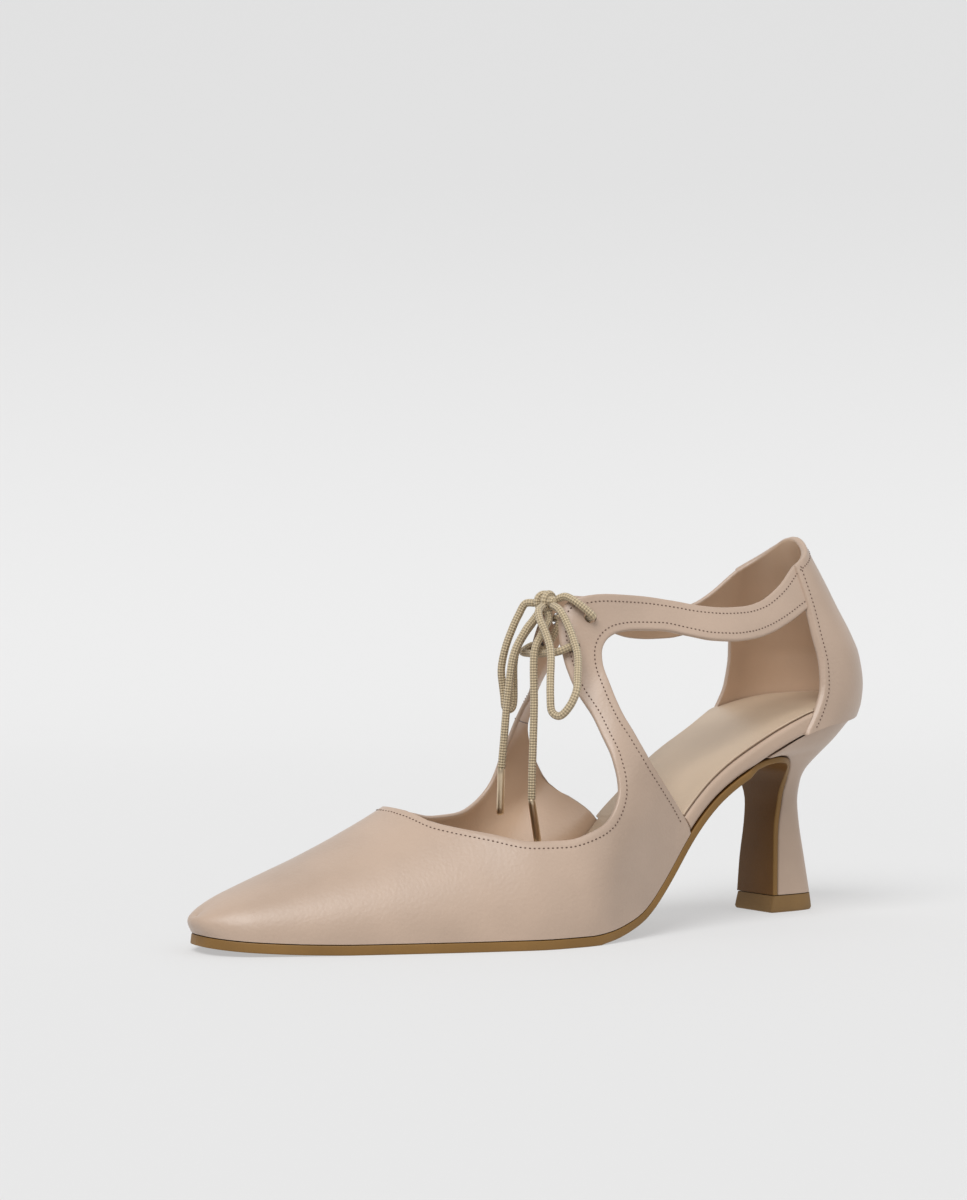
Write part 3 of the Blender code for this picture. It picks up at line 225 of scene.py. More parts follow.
# Free lace: centre lines. Each cord sets off from the knot's skin towards its first row.
KNOT_CENTRE = dict(x=-94.6, y=0, z=104.6)
KNOT_SIZE = dict(x=3.4, y=4.2, z=3.4)
LOOP_LATERAL = as_rows("x y z", (
    (-95.4, -8.8, 101.6), (-94.8, -12.2, 97), (-94.6, -15.2, 92), (-95, -18, 87), (-97.2, -21, 80.4),
    (-98.8, -22.6, 76), (-100.8, -21.8, 71.4), (-102.8, -19.4, 68.4), (-104.4, -17.2, 69.8),
    (-104.4, -16.4, 74.6), (-103.4, -15, 80), (-101.6, -12.6, 88.4), (-101.2, -9.4, 94),
    (-101.4, -6.4, 98.4), (-100.4, -4, 101.4),
))
LOOP_MEDIAL = as_rows("x y z", (
    (-98.9, 6, 104), (-100.4, 7.4, 100.6), (-102, 8.4, 96.6), (-104, 9.8, 90), (-104.6, 11.4, 83),
    (-103.7, 12, 77.4), (-103.2, 12, 74), (-103, 12, 71.6), (-102.5, 12, 70.2), (-101.4, 12, 69.7),
    (-100.3, 11.9, 70.2), (-99.8, 11.7, 71.6), (-99.8, 11.4, 74), (-100.2, 10.8, 77.4),
    (-101.9, 8.2, 84.4), (-101.8, 6.6, 89.4), (-99.6, 6, 93.6), (-96.4, 5.7, 97.6), (-94.1, 4.7, 101),
))
END_LATERAL = as_rows("x y z", (
    (-95.3, -2.2, 98.6), (-99, -3.6, 94), (-102, -3.8, 87.6), (-102.2, -4, 72), (-102.6, -4, 60),
    (-103, -4, 50), (-103.2, -4, 41.8),
))
END_MEDIAL = as_rows("x y z", (
    (-98.2, 2.4, 98.6), (-101.4, 2.4, 95), (-105.1, 3.6, 87), (-106.5, 5, 73), (-107.2, 6, 60),
    (-107.5, 7, 51.2),
))
AGLET_LATERAL = as_rows("x y z", (
    (-103.2, -4, 41.4), (-100.6, -3.4, 28.4),
))
AGLET_MEDIAL = as_rows("x y z", (
    (-107.5, 7.05, 50.8), (-107.6, 7.6, 36.8),
))
# Where the crossings pass over the arms and cross below, on the outer side.
CROSSING_OVER = as_rows("x y z", (
    (-91.5, -6.6, 106.1), (-89.8, -10.4, 104.1),
))
CROSSING_BAR = as_rows("x y z", (
    (-96.8, -10.6, 88.6), (-98.1, -5.4, 88), (-98.3, 0, 87.9),
))

SLOPES = {}


def slopes(table, key, value):
    """Slopes of a smooth curve through the table that never overshoots its rows."""
    tag = (id(table), key, value)
    if tag not in SLOPES:
        xs = [row[key] for row in table]
        ys = [row[value] for row in table]
        steps = [b - a for a, b in zip(xs, xs[1:])]
        rates = [(b - a) / s for a, b, s in zip(ys, ys[1:], steps)]
        out = [rates[0]]
        for i in range(1, len(rates)):
            if rates[i - 1] * rates[i] <= 0:
                out.append(0.0)
                continue
            w0 = 2 * steps[i] + steps[i - 1]
            w1 = steps[i] + 2 * steps[i - 1]
            out.append((w0 + w1) / (w0 / rates[i - 1] + w1 / rates[i]))
        out.append(rates[-1])
        SLOPES[tag] = (xs, ys, out)
    return SLOPES[tag]


def curve(table, at, key, value):
    """Value of a table's smooth curve at one place."""
    xs, ys, ms = slopes(table, key, value)
    at = min(max(at, xs[0]), xs[-1])
    i = 0
    while i < len(xs) - 2 and at > xs[i + 1]:
        i += 1
    h = xs[i + 1] - xs[i]
    t = (at - xs[i]) / h
    a = (1 + 2 * t) * (1 - t) ** 2 * ys[i] + t * (1 - t) ** 2 * h * ms[i]
    return a + t * t * (3 - 2 * t) * ys[i + 1] + t * t * (t - 1) * h * ms[i + 1]


def seat(x):
    return curve(SEAT, x, "x", "z")


def place(x, y, z):
    """Pattern millimetres to metres."""
    return Vector((x * ALONG, y * ACROSS, SOLE_THICKNESS + (z - PATTERN_BALL_SEAT) * UPWARD))


def half_width(x, z, side):
    """Where the last's wall stands across, at one place along and up, on one side."""
    low = seat(x) + curve(LAST, x, "x", "base")
    top = curve(LAST, x, "x", "top")
    power = curve(LAST, x, "x", "round")
    ridge = curve(LAST, x, "x", "ridge")
    foot = curve(LAST, x, "x", side)
    cone = curve(LAST, x, "x", "cone")
    up = min(max((z - low) / (top - low), 0), 1)
    share = (1 - cone) * (1 - up ** power) ** (1 / power) + cone * curve(CONE, up, "up", side)
    wide = ridge + (foot - ridge) * share
    if side == "lateral":
        return wide
    over = min(max((z - seat(x) - TUCK_HOLD) / TUCK_FADE, 0), 1)
    return wide * (1 - (1 - kept(x)) * (1 + math.cos(math.pi * over)) / 2)


def kept(x):
    """Share of the inner half width that the waist's arch leaves at the seat line."""
    return 1 - curve(TUCK, x, "x", "lost")


def wall_point(x, z, side):
    return place(x, half_width(x, z, side), z)


def toe_point(x, t, side):
    """A point of the toe: t is 0 at the seat line and 1 on the ridge."""
    low = seat(x)
    z = low + (curve(LAST, x, "x", "top") - low) * math.sin(t * math.pi / 2)
    bulge = curve(LAST, x, "x", "nose") * math.sin(math.pi * t)
    return place(x - bulge, half_width(x, z, side), z)


def counter_point(turn, z, side):
    """A point of the counter: turn is 0 at its front edge and 1 at the back seam."""
    wide = half_width(0, z, "medial")
    centre = curve(BACK, z, "z", "x") - wide
    front = curve(COUNTER_FRONT, z, "z", "x")
    straight = max(centre - front, 0)
    ahead = max(front - centre, 0)
    gone = turn * (straight + wide * math.pi / 2)
    sign = -1 if side == "lateral" else 1
    if gone < straight:
        return place(front + gone, sign * wide, z)
    angle = (gone - straight) / wide
    along = centre + wide * math.sin(angle) + ahead * math.cos(angle)
    return place(along, sign * wide * math.cos(angle), z)


def mix(a, b, t):
    return a + (b - a) * t


def inset(x, z, side, depth):
    """Pattern position across of a line that runs the given depth inside the last's wall."""
    d = SLOPE_STEP
    slope_x = (half_width(x + d, z, side) - half_width(x - d, z, side)) / (2 * d)
    slope_z = (half_width(x, z + d, side) - half_width(x, z - d, side)) / (2 * d)
    move = depth / ACROSS * math.hypot(1, slope_x, slope_z)
    wide = half_width(x, z, side)
    centre = curve(LAST, x, "x", "ridge")
    if side == "lateral":
        return min(wide + move, centre - NARROWEST)
    return max(wide - move, centre + NARROWEST)


def rear_inset(x, z, wide, depth):
    """Half width of that inner line round the back of the counter."""
    back = curve(BACK, z, "z", "x")
    whole = half_width(0, z, "medial")
    centre = back - whole
    if x <= centre:
        return wide
    radius = whole - depth / ACROSS
    return min(wide, math.sqrt(max(radius * radius - (x - centre) ** 2, NARROWEST ** 2)))


def board_width(x, z, side, inside, extra):
    """Where the board's edge stands across: inside the wall, or level with it where it is open."""
    depth = (WALL + GAP if inside else 0) + extra
    wide = inset(x, z, side, depth)
    if x > 0 and inside:
        sign = -1 if side == "lateral" else 1
        wide = sign * rear_inset(x, z, abs(wide), depth)
    return wide


def board_ring(row, extra, from_seat, under, thickness):
    """One cross section of the board or the sock."""
    low = Vector((row["x0"] * ALONG, 0, place(0, 0, seat(row["x0"])).z))
    high = Vector((row["x1"] * ALONG, 0, place(0, 0, curve(FOOTBED, row["x1"], "x", "z")).z))
    rise = (high - low).normalized()
    top = high - rise * under
    foot = low if from_seat else top - rise * thickness
    ring = []
    for point, side in ((foot, "lateral"), (top, "lateral"), (top, "medial"), (foot, "medial")):
        x = point.x / ALONG
        z = (point.z - SOLE_THICKNESS) / UPWARD + PATTERN_BALL_SEAT
        y = board_width(x, z, side, row[side], extra)
        ring.append(Vector((point.x, y * ACROSS, point.z)))
    return ring


def sole_rings(front, breast):
    """The outsole's strip from the toe through the waist and down the heel's front."""
    path = []
    for x in front:
        z = seat(x)
        spot = place(x, 0, z)
        path.append((spot.x, spot.z - GAP, half_width(x, z, "lateral"), half_width(x, z, "medial")))
    for row in breast:
        spot = place(row["x"], 0, row["z"])
        path.append((spot.x, spot.z, -row["wide"], row["wide"] * kept(row["x"])))
    flat = [i for i, x in enumerate(front) if FLAT_FROM <= x <= FLAT_TO]
    rings = []
    for i, (x, z, lateral, medial) in enumerate(path):
        a = path[max(i - 1, 0)]
        b = path[min(i + 1, len(path) - 1)]
        run = math.hypot(b[0] - a[0], b[1] - a[1])
        down = ((b[1] - a[1]) / run, -(b[0] - a[0]) / run)
        fall = min(max((x / ALONG - FLAT_TO) / (WAIST_FROM - FLAT_TO), 0), 1)
        thick = mix(SOLE_THICKNESS - GAP, WAIST_THICKNESS, fall)
        if i >= len(front):
            thick = FLAP_THICKNESS
        foot = (x + down[0] * thick, max(z + down[1] * thick, 0))
        if i in flat:
            foot = (x, 0)
        if i == len(path) - 1:
            foot = (x - thick, z)
        rings.append([Vector((x, lateral * ACROSS, z)), Vector((foot[0], lateral * ACROSS, foot[1])),
                      Vector((foot[0], medial * ACROSS, foot[1])), Vector((x, medial * ACROSS, z))])
    return rings


def slice_ring(row, lower):
    """A slice of the heel: flat front, rounded back, leaning with the seat near its top."""
    ring = []
    for i in range(HEEL_ROUND + 1):
        angle = math.pi * (i / HEEL_ROUND - 0.5)
        share = abs(math.cos(angle)) ** (2 / row["square"])
        side = math.copysign(abs(math.sin(angle)) ** (2 / row["square"]), angle)
        if i in (0, HEEL_ROUND):
            share = 0
        x = mix(row["xf"], row["xb"], share)
        chord = mix(row["zf"], row["zb"], share)
        ends = mix(seat(row["xf"]), seat(row["xb"]), share)
        z = chord + (seat(x) - ends) * row["seat"]
        across = side if side < 0 else side * kept(x)
        point = place(x, row["wide"] * across, z)
        if lower:
            point.z = max(z * lower, 0)
        ring.append(point)
    return ring


def smooth_line(points, between):
    """Points spaced along a smooth line through the given ones."""
    out = []
    for i in range(len(points) - 1):
        p0 = points[max(i - 1, 0)]
        p1 = points[i]
        p2 = points[i + 1]
        p3 = points[min(i + 2, len(points) - 1)]
        for k in range(between):
            t = k / between
            a = p1 * 2 + (p2 - p0) * t
            b = (p0 * 2 - p1 * 5 + p2 * 4 - p3) * t * t
            c = (p1 * 3 - p0 - p2 * 3 + p3) * t ** 3
            out.append((a + b + c) / 2)
    out.append(points[-1])
    return out


def off_knot(point):
    """Where a cord that runs to the point leaves the knot's skin."""
    centre = place(KNOT_CENTRE["x"], KNOT_CENTRE["y"], KNOT_CENTRE["z"])
    way = (point - centre).normalized()
    half = (KNOT_SIZE["x"] * ALONG, KNOT_SIZE["y"] * ACROSS, KNOT_SIZE["z"] * UPWARD)
    reach = 1 / math.hypot(way.x / half[0], way.y / half[1], way.z / half[2])
    return centre + way * (reach + KNOT_CLEARANCE)


def cord_line(table, between, knot_ends):
    """A cord's centre line; knot_ends counts the ends that set off from the knot."""
    points = [place(row["x"], row["y"], row["z"]) for row in table]
    if knot_ends > 0:
        points.insert(0, off_knot(points[0]))
    if knot_ends > 1:
        points.append(off_knot(points[-1]))
    return smooth_line(points, between)


def hole_frame(hole, side):
    """Centre of a lace hole on the strap's outer face and the way out of the shoe there."""
    d = SLOPE_STEP
    centre = wall_point(hole["x"], hole["z"], side)
    along = wall_point(hole["x"] + d, hole["z"], side) - wall_point(hole["x"] - d, hole["z"], side)
    up = wall_point(hole["x"], hole["z"] + d, side) - wall_point(hole["x"], hole["z"] - d, side)
    out = along.cross(up).normalized()
    if (out.y > 0) == (side == "lateral"):
        out = -out
    return centre, out


def lace_half(side):
    """Half of the crossings: from the knot over the arm, in, down behind it, out and across."""
    sign = -1 if side == "lateral" else 1
    high, high_out = hole_frame(UPPER_HOLE, side)
    low, low_out = hole_frame(LOWER_HOLE, side)
    over = LACE_DIAMETER / 2 + LACE_CLEARANCE
    behind = WALL + LACE_DIAMETER / 2 + LACE_CLEARANCE
    over_line = [place(row["x"], -sign * row["y"], row["z"]) for row in CROSSING_OVER]
    over_line.insert(0, off_knot(over_line[0]))
    bar_line = [place(row["x"], -sign * row["y"], row["z"]) for row in CROSSING_BAR[:2]]
    return over_line + [high + high_out * over, high, high - high_out * behind,
                        (high - high_out * (behind + GAP) + low - low_out * (behind + GAP)) / 2,
                        low - low_out * behind, low, low + low_out * over] + bar_line


def crossing_line(between):
    """The whole of the crossings, from one side of the knot to the other."""
    middle = CROSSING_BAR[2]
    bar = [place(middle["x"], middle["y"], middle["z"])]
    return smooth_line(lace_half("lateral") + bar + lace_half("medial")[::-1], between)


bl_info = {
    "name": "Lace up heel",
    "version": (1, 0, 0),
    "blender": (4, 5, 0),
    "location": "View3D > Sidebar > Heel",
    "description": "Dresses the packed lace up heel: leather, stitches, sole, heel and lace",
    "category": "Add Mesh",
}

# How finely the dressed pieces are divided.
STRIPS = 24
BETWEEN = 4
BOARD_BETWEEN = 3
HEEL_BETWEEN = 5
TOP_PIECE_BETWEEN = 2
CORD_BETWEEN = 8
AGLET_BETWEEN = 6
COUNTER_TURNS = 40
COUNTER_LOW_ROWS = 24
HEEL_ROUND = 48
RIM_STEPS = 4
BOARD_ROUNDS = 4
SOLE_ROUNDS = 3
FRONT_ROUNDS = 3
HOLE_SIDES = 32
CORD_SIDES = 14

# The leather shell: passes that even out the ways to its inner skin, how far its border rolls out
# on the seat line, and the depth of the cut for a lace hole.
EVENING = 14
SEAT_ROLL = GAP / 4
CUTTER_DEPTH = WALL * 5

# Pattern millimetres: where the lower and the upper edge of a strap reach the counter.
STRAP_END = (-1.8, -3.4)

# The counter's step: turns at its front edge, where the climb ends as a multiple of where it
# starts, and the share of the step climbed by then. Passes that bring its foot to the seat line.
EDGE_TURNS = 3
STEP_RUN = 2.4
STEP_CLIMB = 0.75
SEAT_PASSES = 3

# Rounded corners: the most that one takes of a side, and the heel's front corners, metres.
CORNER_SHARE = 0.45
FRONT_ROUND = 0.0008
LOFT_WELD = GAP / 60

# The sock's seat on the board, and the rounding of its edge as a share of its thickness.
SOCK_SEAT = GAP * 0.15
SOCK_ROUND = 0.45

# A cord's rounded end: how far each ring stands out and its share of the radius.
CORD_CAP = ((0.9, 0.4), (0.5, 0.86))
CAP_PUSH = 0.6

# The lace's braid: turns of its crossing strands along a metre, and round the cord.
BRAID_ALONG = 3600
BRAID_ROUND = math.pi * 8

# The knot, metres: each turn's shift and twist, its half sizes, its cord, and the core inside.
KNOT_TURNS = ((-0.0011, 2), (0.0012, -1.6))
KNOT_TURN_SIZE = (0.0023, 0.0008, 0.0025)
KNOT_TURN_STEPS = 28
KNOT_TURN_CORD = 0.95
KNOT_CORE = (-0.0036, -0.002, 0, 0.002, 0.0036)
KNOT_CORE_CORD = 1.5

# Stitches: how far they stand off the skin, and the first stitched station of the arms.
STITCH_RAISE = 0.00002
ARM_START = SEAT_ROWS * BETWEEN + 3
DOWN = Vector((0, 0, -1))
BACKWARD = Vector((1, 0, 0))

# The seam across the inner arm, pattern millimetres from its rear border to its front one, and
# the half thickness of its thread outside and inside, metres.
SEAM_X = (-83.2, -90.8)
SEAM_Z = (65.2, 66.4)
SEAM_STEPS = 10
SEAM_OUTSIDE = 0.00022
SEAM_INSIDE = 0.00018

# Leather: grain cells and patches to a metre, and the grain's depth.
GRAIN_CELLS = 900.0
GRAIN_DEPTH = 0.12
PATCHES = 35.0

# Shades of the cut edges: the lace holes and the sock.
HOLE_EDGE = (0.12, 0.075, 0.055)
SOCK_EDGE = (0.3, 0.19, 0.12)

# The stage: the floor's middle, its profile along the look and its half width, its paper, and
# each light's place, spread and strength.
FLOOR_MIDDLE = Vector((-0.1, 0, 0))
FLOOR_NEAR = -3
FLOOR_BEND = 1.6
FLOOR_BEND_SIZE = 0.8
FLOOR_BEND_STEPS = 12
FLOOR_TOP = 4
FLOOR_WIDE = 4
PAPER = (0.32, 0.32, 0.32)
PAPER_GLOW = 0.44
WORLD_GLOW = 0.34
LIGHTS = (("key", (-0.7, -0.5, 1.2), 0.7, 2.35), ("fill", (0.6, -0.9, 0.9), 0.9, 0.4),
          ("rim", (0.4, 0.9, 0.9), 0.8, 0.6))

# The camera: level look, its right, lens and the whole of its place.
LOOK = Vector((0.536, 0.8437, 0))
RIGHT = Vector((0.8437, -0.536, 0))
LENS = 61.54
SENSOR = 36
CAMERA = Matrix(((0.84409, -0.01467, -0.53600, -0.46607),
                 (-0.53620, -0.02563, -0.84370, -0.54683),
                 (-0.00136, 0.99956, -0.02950, 0.08567), (0, 0, 0, 1)))


class HeelSizes(bpy.types.PropertyGroup):
    """Sizes of the finish, in metres."""
    stitch_spacing: bpy.props.FloatProperty(
        name="Stitch spacing", description="From one stitch to the next", default=0.00142, unit="LENGTH")
    stitch_length: bpy.props.FloatProperty(
        name="Stitch length", description="Length of one sunk stitch", default=0.00072, unit="LENGTH")
    stitch_width: bpy.props.FloatProperty(
        name="Stitch width", description="Width of one sunk stitch", default=0.00046, unit="LENGTH")
    stitch_inset: bpy.props.FloatProperty(
        name="Stitch inset", description="From the folded edge to the row", default=0.0021, unit="LENGTH")
    edge_roll: bpy.props.FloatProperty(
        name="Edge roll", description="How far the folded edge stands out", default=0.0005, unit="LENGTH")
    sole_round: bpy.props.FloatProperty(
        name="Sole rounding", description="Rounding of the sole's edges", default=0.0004, unit="LENGTH")
    wrap_round: bpy.props.FloatProperty(
        name="Wrap rounding", description="Rounding of the wrapped board's edge", default=0.0022,
        unit="LENGTH")


class HeelColours(bpy.types.PropertyGroup):
    """Colours of the finish."""
    upper: bpy.props.FloatVectorProperty(
        name="Upper", description="Blush leather", subtype="COLOR", default=(0.472, 0.35, 0.268))
    lining: bpy.props.FloatVectorProperty(
        name="Lining", description="Tan lining leather", subtype="COLOR", default=(0.55, 0.385, 0.265))
    band: bpy.props.FloatVectorProperty(
        name="Board wrap", description="Leather round the board", subtype="COLOR",
        default=(0.49, 0.36, 0.27))
    footbed: bpy.props.FloatVectorProperty(
        name="Footbed", description="Pale sock leather", subtype="COLOR", default=(0.505, 0.39, 0.282))
    sole_edge: bpy.props.FloatVectorProperty(
        name="Sole edge", description="Tan brown edge", subtype="COLOR", default=(0.23, 0.125, 0.038))
    sole_tread: bpy.props.FloatVectorProperty(
        name="Sole tread", description="Brown tread", subtype="COLOR", default=(0.14, 0.06, 0.01))
    top_piece: bpy.props.FloatVectorProperty(
        name="Top piece", description="Brown rubber", subtype="COLOR", default=(0.23, 0.135, 0.052))
    stitch: bpy.props.FloatVectorProperty(
        name="Stitch", description="Shade of the sunk stitches", subtype="COLOR",
        default=(0.13, 0.078, 0.055))
    lace: bpy.props.FloatVectorProperty(
        name="Lace", description="Beige braid", subtype="COLOR", default=(0.58, 0.465, 0.3))
    metal: bpy.props.FloatVectorProperty(
        name="Aglet", description="Pale gold metal", subtype="COLOR", default=(0.75, 0.6, 0.42))


# Materials.


def node(tree, kind, sources=(), values=(), **settings):
    """A new node: its settings, the sockets it takes from other nodes, and its own constants."""
    made = tree.nodes.new(kind)
    for name, value in settings.items():
        setattr(made, name, value)
    for other, out, into in sources:
        tree.links.new(other.outputs[out], made.inputs[into])
    for into, value in values:
        made.inputs[into].default_value = value
    return made


def grain_group():
    """Leather grain: fine cells and creases over the object's own space."""
    found = bpy.data.node_groups.get("leather_grain")
    if found:
        return found
    group = bpy.data.node_groups.new("leather_grain", "ShaderNodeTree")
    face = group.interface
    for name, value in (("Cells", GRAIN_CELLS), ("Depth", GRAIN_DEPTH), ("Patches", PATCHES)):
        socket = face.new_socket(name=name, in_out="INPUT", socket_type="NodeSocketFloat")
        socket.default_value = value
    face.new_socket(name="Shade", in_out="OUTPUT", socket_type="NodeSocketFloat")
    face.new_socket(name="Rough", in_out="OUTPUT", socket_type="NodeSocketFloat")
    face.new_socket(name="Normal", in_out="OUTPUT", socket_type="NodeSocketVector")
    come = node(group, "NodeGroupInput")
    space = (node(group, "ShaderNodeTexCoord"), "Object", "Vector")
    fine_scale = (come, "Cells", "Scale")
    cells = node(group, "ShaderNodeTexVoronoi", (space, fine_scale))
    fine = node(group, "ShaderNodeTexNoise", (space, fine_scale), (("Detail", 4),))
    patch = node(group, "ShaderNodeTexNoise", (space, (come, "Patches", "Scale")), (("Detail", 3),))
    add = node(group, "ShaderNodeMath", ((cells, "Distance", 0), (fine, "Fac", 2)), ((1, 0.6),),
               operation="MULTIPLY_ADD")
    bump = node(group, "ShaderNodeBump", ((come, "Depth", "Strength"), (add, "Value", "Height")),
                (("Distance", 0.0004),))
    level = ((patch, "Fac", "Value"),)
    shade = node(group, "ShaderNodeMapRange", level, (("From Min", 0.3), ("From Max", 0.7)))
    rough = node(group, "ShaderNodeMapRange", level, (("To Min", 0.33), ("To Max", 0.45)))
    node(group, "NodeGroupOutput", ((shade, "Result", "Shade"), (rough, "Result", "Rough"),
                                    (bump, "Normal", "Normal")))
    return group


def blank(name, colour):
    """A material with its Principled shader, ready for its own nodes."""
    found = bpy.data.materials.get(name)
    if found:
        bpy.data.materials.remove(found)
    material = bpy.data.materials.new(name)
    material.use_nodes = True
    material.diffuse_color = (*colour, 1)
    shader = material.node_tree.nodes["Principled BSDF"]
    shader.inputs["Base Color"].default_value = (*colour, 1)
    return material, shader


def toned(tree, shader, colour, dark, light, source, out):
    """The base colour runs from the dark share of the colour to the light one."""
    ends = [(*[min(c * share, 1) for c in colour], 1) for share in (dark, light)]
    mixed = node(tree, "ShaderNodeMix", values=(("A", ends[0]), ("B", ends[1])), data_type="RGBA")
    tree.links.new(source.outputs[out], mixed.inputs["Factor"])
    tree.links.new(mixed.outputs["Result"], shader.inputs["Base Color"])


def leather(name, colour, cells=GRAIN_CELLS, depth=GRAIN_DEPTH, coat=0.0, patches=PATCHES, dark=0.92,
            light=1.06):
    """Smooth leather with fine grain, faint patches and its gloss from the finish."""
    material, shader = blank(name, colour)
    tree = material.node_tree
    values = (("Cells", cells), ("Depth", depth), ("Patches", patches))
    grain = node(tree, "ShaderNodeGroup", values=values, node_tree=grain_group())
    toned(tree, shader, colour, dark, light, grain, "Shade")
    tree.links.new(grain.outputs["Rough"], shader.inputs["Roughness"])
    tree.links.new(grain.outputs["Normal"], shader.inputs["Normal"])
    shader.inputs["Specular IOR Level"].default_value = 0.4
    shader.inputs["Coat Weight"].default_value = coat
    shader.inputs["Coat Roughness"].default_value = 0.35
    return material


def braid(name, colour):
    """Round braid: crossing strands that follow the cord's own map, the colour darker in the grooves
    between them as painted shade and lighter on their crowns as painted light.
    """
    material, shader = blank(name, colour)
    tree = material.node_tree
    uv = node(tree, "ShaderNodeUVMap", uv_map="cord")
    split = node(tree, "ShaderNodeSeparateXYZ", ((uv, "UV", "Vector"),))
    along = node(tree, "ShaderNodeMath", ((split, "X", 0),), ((1, BRAID_ALONG),), operation="MULTIPLY")
    waves = []
    for turns in (BRAID_ROUND, -BRAID_ROUND):
        turn = node(tree, "ShaderNodeMath", ((split, "Y", 0), (along, "Value", 2)), ((1, turns),),
                    operation="MULTIPLY_ADD")
        waves.append(node(tree, "ShaderNodeMath", ((turn, "Value", 0),), operation="SINE"))
    cross = node(tree, "ShaderNodeMath", ((waves[0], "Value", 0), (waves[1], "Value", 1)),
                 operation="MULTIPLY")
    level = node(tree, "ShaderNodeMapRange", ((cross, "Value", "Value"),),
                 (("From Min", -1), ("From Max", 1)))
    # The colour follows the braid's height, as the bump does: painted shade in the grooves between strands,
    # painted light on their crowns.
    toned(tree, shader, colour, 0.55, 1.22, level, "Result")
    bump = node(tree, "ShaderNodeBump", ((level, "Result", "Height"),),
                (("Strength", 0.9), ("Distance", 0.0004)))
    tree.links.new(bump.outputs["Normal"], shader.inputs["Normal"])
    shader.inputs["Roughness"].default_value = 0.85
    shader.inputs["Sheen Weight"].default_value = 0.3
    return material


def plain(name, colour, roughness, metallic, depth=0.1):
    """Rubber, sole stock or metal with its own faint patches and surface."""
    material = leather(name, colour, 1400.0, depth, 0.0, 60.0, 0.9, 1.1)
    shader = material.node_tree.nodes["Principled BSDF"]
    material.node_tree.links.remove(shader.inputs["Roughness"].links[0])
    shader.inputs["Roughness"].default_value = roughness
    shader.inputs["Metallic"].default_value = metallic
    shader.inputs["Specular IOR Level"].default_value = 0.5 if metallic else 0.25
    return material


# Meshes.


def finish_piece(name, solid, materials, nodes, sharp=40):
    """Makes the object, sets it riding and hides the parts it stands for."""
    mesh = bpy.data.meshes.new(name)
    solid.to_mesh(mesh)
    solid.free()
    thing = bpy.data.objects.new(name, mesh)
    bpy.context.scene.collection.objects.link(thing)
    for material in materials:
        mesh.materials.append(material)
    for face in mesh.polygons:
        face.use_smooth = True
    mesh.set_sharp_from_angle(angle=math.radians(sharp))
    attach(thing, "root")
    if nodes:
        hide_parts(*nodes)
    return thing


# Tables made while the pieces are built, kept because the smooth curves know a table by its id.
KEPT = []


def refine(rows, keys, per, hold=()):
    """More rows between the table's own, on smooth curves; a change in a held key stays a step."""
    table = [dict(row, i=float(i)) for i, row in enumerate(rows)]
    KEPT.append(table)
    out = []
    for n in range(len(table) - 1):
        step = any(table[n][key] != table[n + 1][key] for key in hold)
        parts = 1 if step else per
        for k in range(parts):
            row = {key: curve(table, n + k / parts, "i", key) for key in keys}
            row.update({key: table[n][key] for key in hold})
            out.append(row)
    out.append({key: table[-1][key] for key in list(keys) + list(hold)})
    return out


def side_rows(side):
    """Rows of one side from the throat to the counter's front edge."""
    throat = TOE[-1]
    rows = [dict(x0=throat, z0=0, x1=throat, z1=curve(LAST, throat, "x", "top"), bow=1)]
    rows += [dict(row) for row in (OUTER_SIDE if side == "lateral" else INNER_SIDE)]
    rows.append(dict(x0=STRAP_END[0], z0=STRAP_FOOT_Z, x1=STRAP_END[1], z1=COLLAR_FRONT_Z, bow=0))
    for row in rows[:SEAT_ROWS + 1]:
        row["z0"] = seat(row["x0"])
    return rows


def side_grid(side):
    """Strips from the throat along the low side, up the arm and back along the strap."""
    rows = refine(side_rows(side), ["x0", "z0", "x1", "z1", "bow"], BETWEEN)
    grid = []
    for i, row in enumerate(rows):
        low = seat(row["x0"]) if i <= SEAT_ROWS * BETWEEN else row["z0"]
        line = []
        for j in range(STRIPS + 1):
            t = j / STRIPS
            bowed = mix(t, math.sin(t * math.pi / 2), row["bow"])
            if i == len(rows) - 1:
                line.append(counter_point(0, mix(STRAP_FOOT_Z, COLLAR_FRONT_Z, t), side))
            elif i == 0:
                line.append(toe_point(TOE[-1], t, side))
            else:
                line.append(wall_point(mix(row["x0"], row["x1"], t), mix(low, row["z1"], bowed), side))
        grid.append(line)
    return grid


def toe_grid(side):
    """Strips of the toe, from its tip to the throat."""
    rows = refine([dict(x=x) for x in TOE], ["x"], BETWEEN)
    return [[toe_point(row["x"], j / STRIPS, side) for j in range(STRIPS + 1)] for row in rows]


def counter_grid(side):
    """Columns of the counter from its front edge to the back seam, and how far each stands out."""
    levels = [mix(COUNTER_FOOT_Z, STRAP_FOOT_Z, j / COUNTER_LOW_ROWS) for j in range(COUNTER_LOW_ROWS)]
    levels += [mix(STRAP_FOOT_Z, COLLAR_FRONT_Z, j / STRIPS) for j in range(STRIPS + 1)]
    first = GAP / (COUNTER_ARC * ALONG)
    turns = [0, first, first * STEP_RUN] + [(i + 1) / COUNTER_TURNS for i in range(COUNTER_TURNS)]
    lifts = [0, COUNTER_STEP * STEP_CLIMB] + [COUNTER_STEP] * (len(turns) - 2)
    grid = []
    for turn in turns:
        top = curve(COLLAR, turn, "turn", "z")
        foot = COUNTER_FOOT_Z
        for _ in range(SEAT_PASSES):
            foot = seat(counter_point(turn, foot, "medial").x / ALONG)
        line = []
        for level in levels:
            share = (level - COUNTER_FOOT_Z) / (COLLAR_FRONT_Z - COUNTER_FOOT_Z)
            line.append(counter_point(turn, level if turn == 0 else mix(foot, top, share), side))
        grid.append(line)
    return grid, lifts


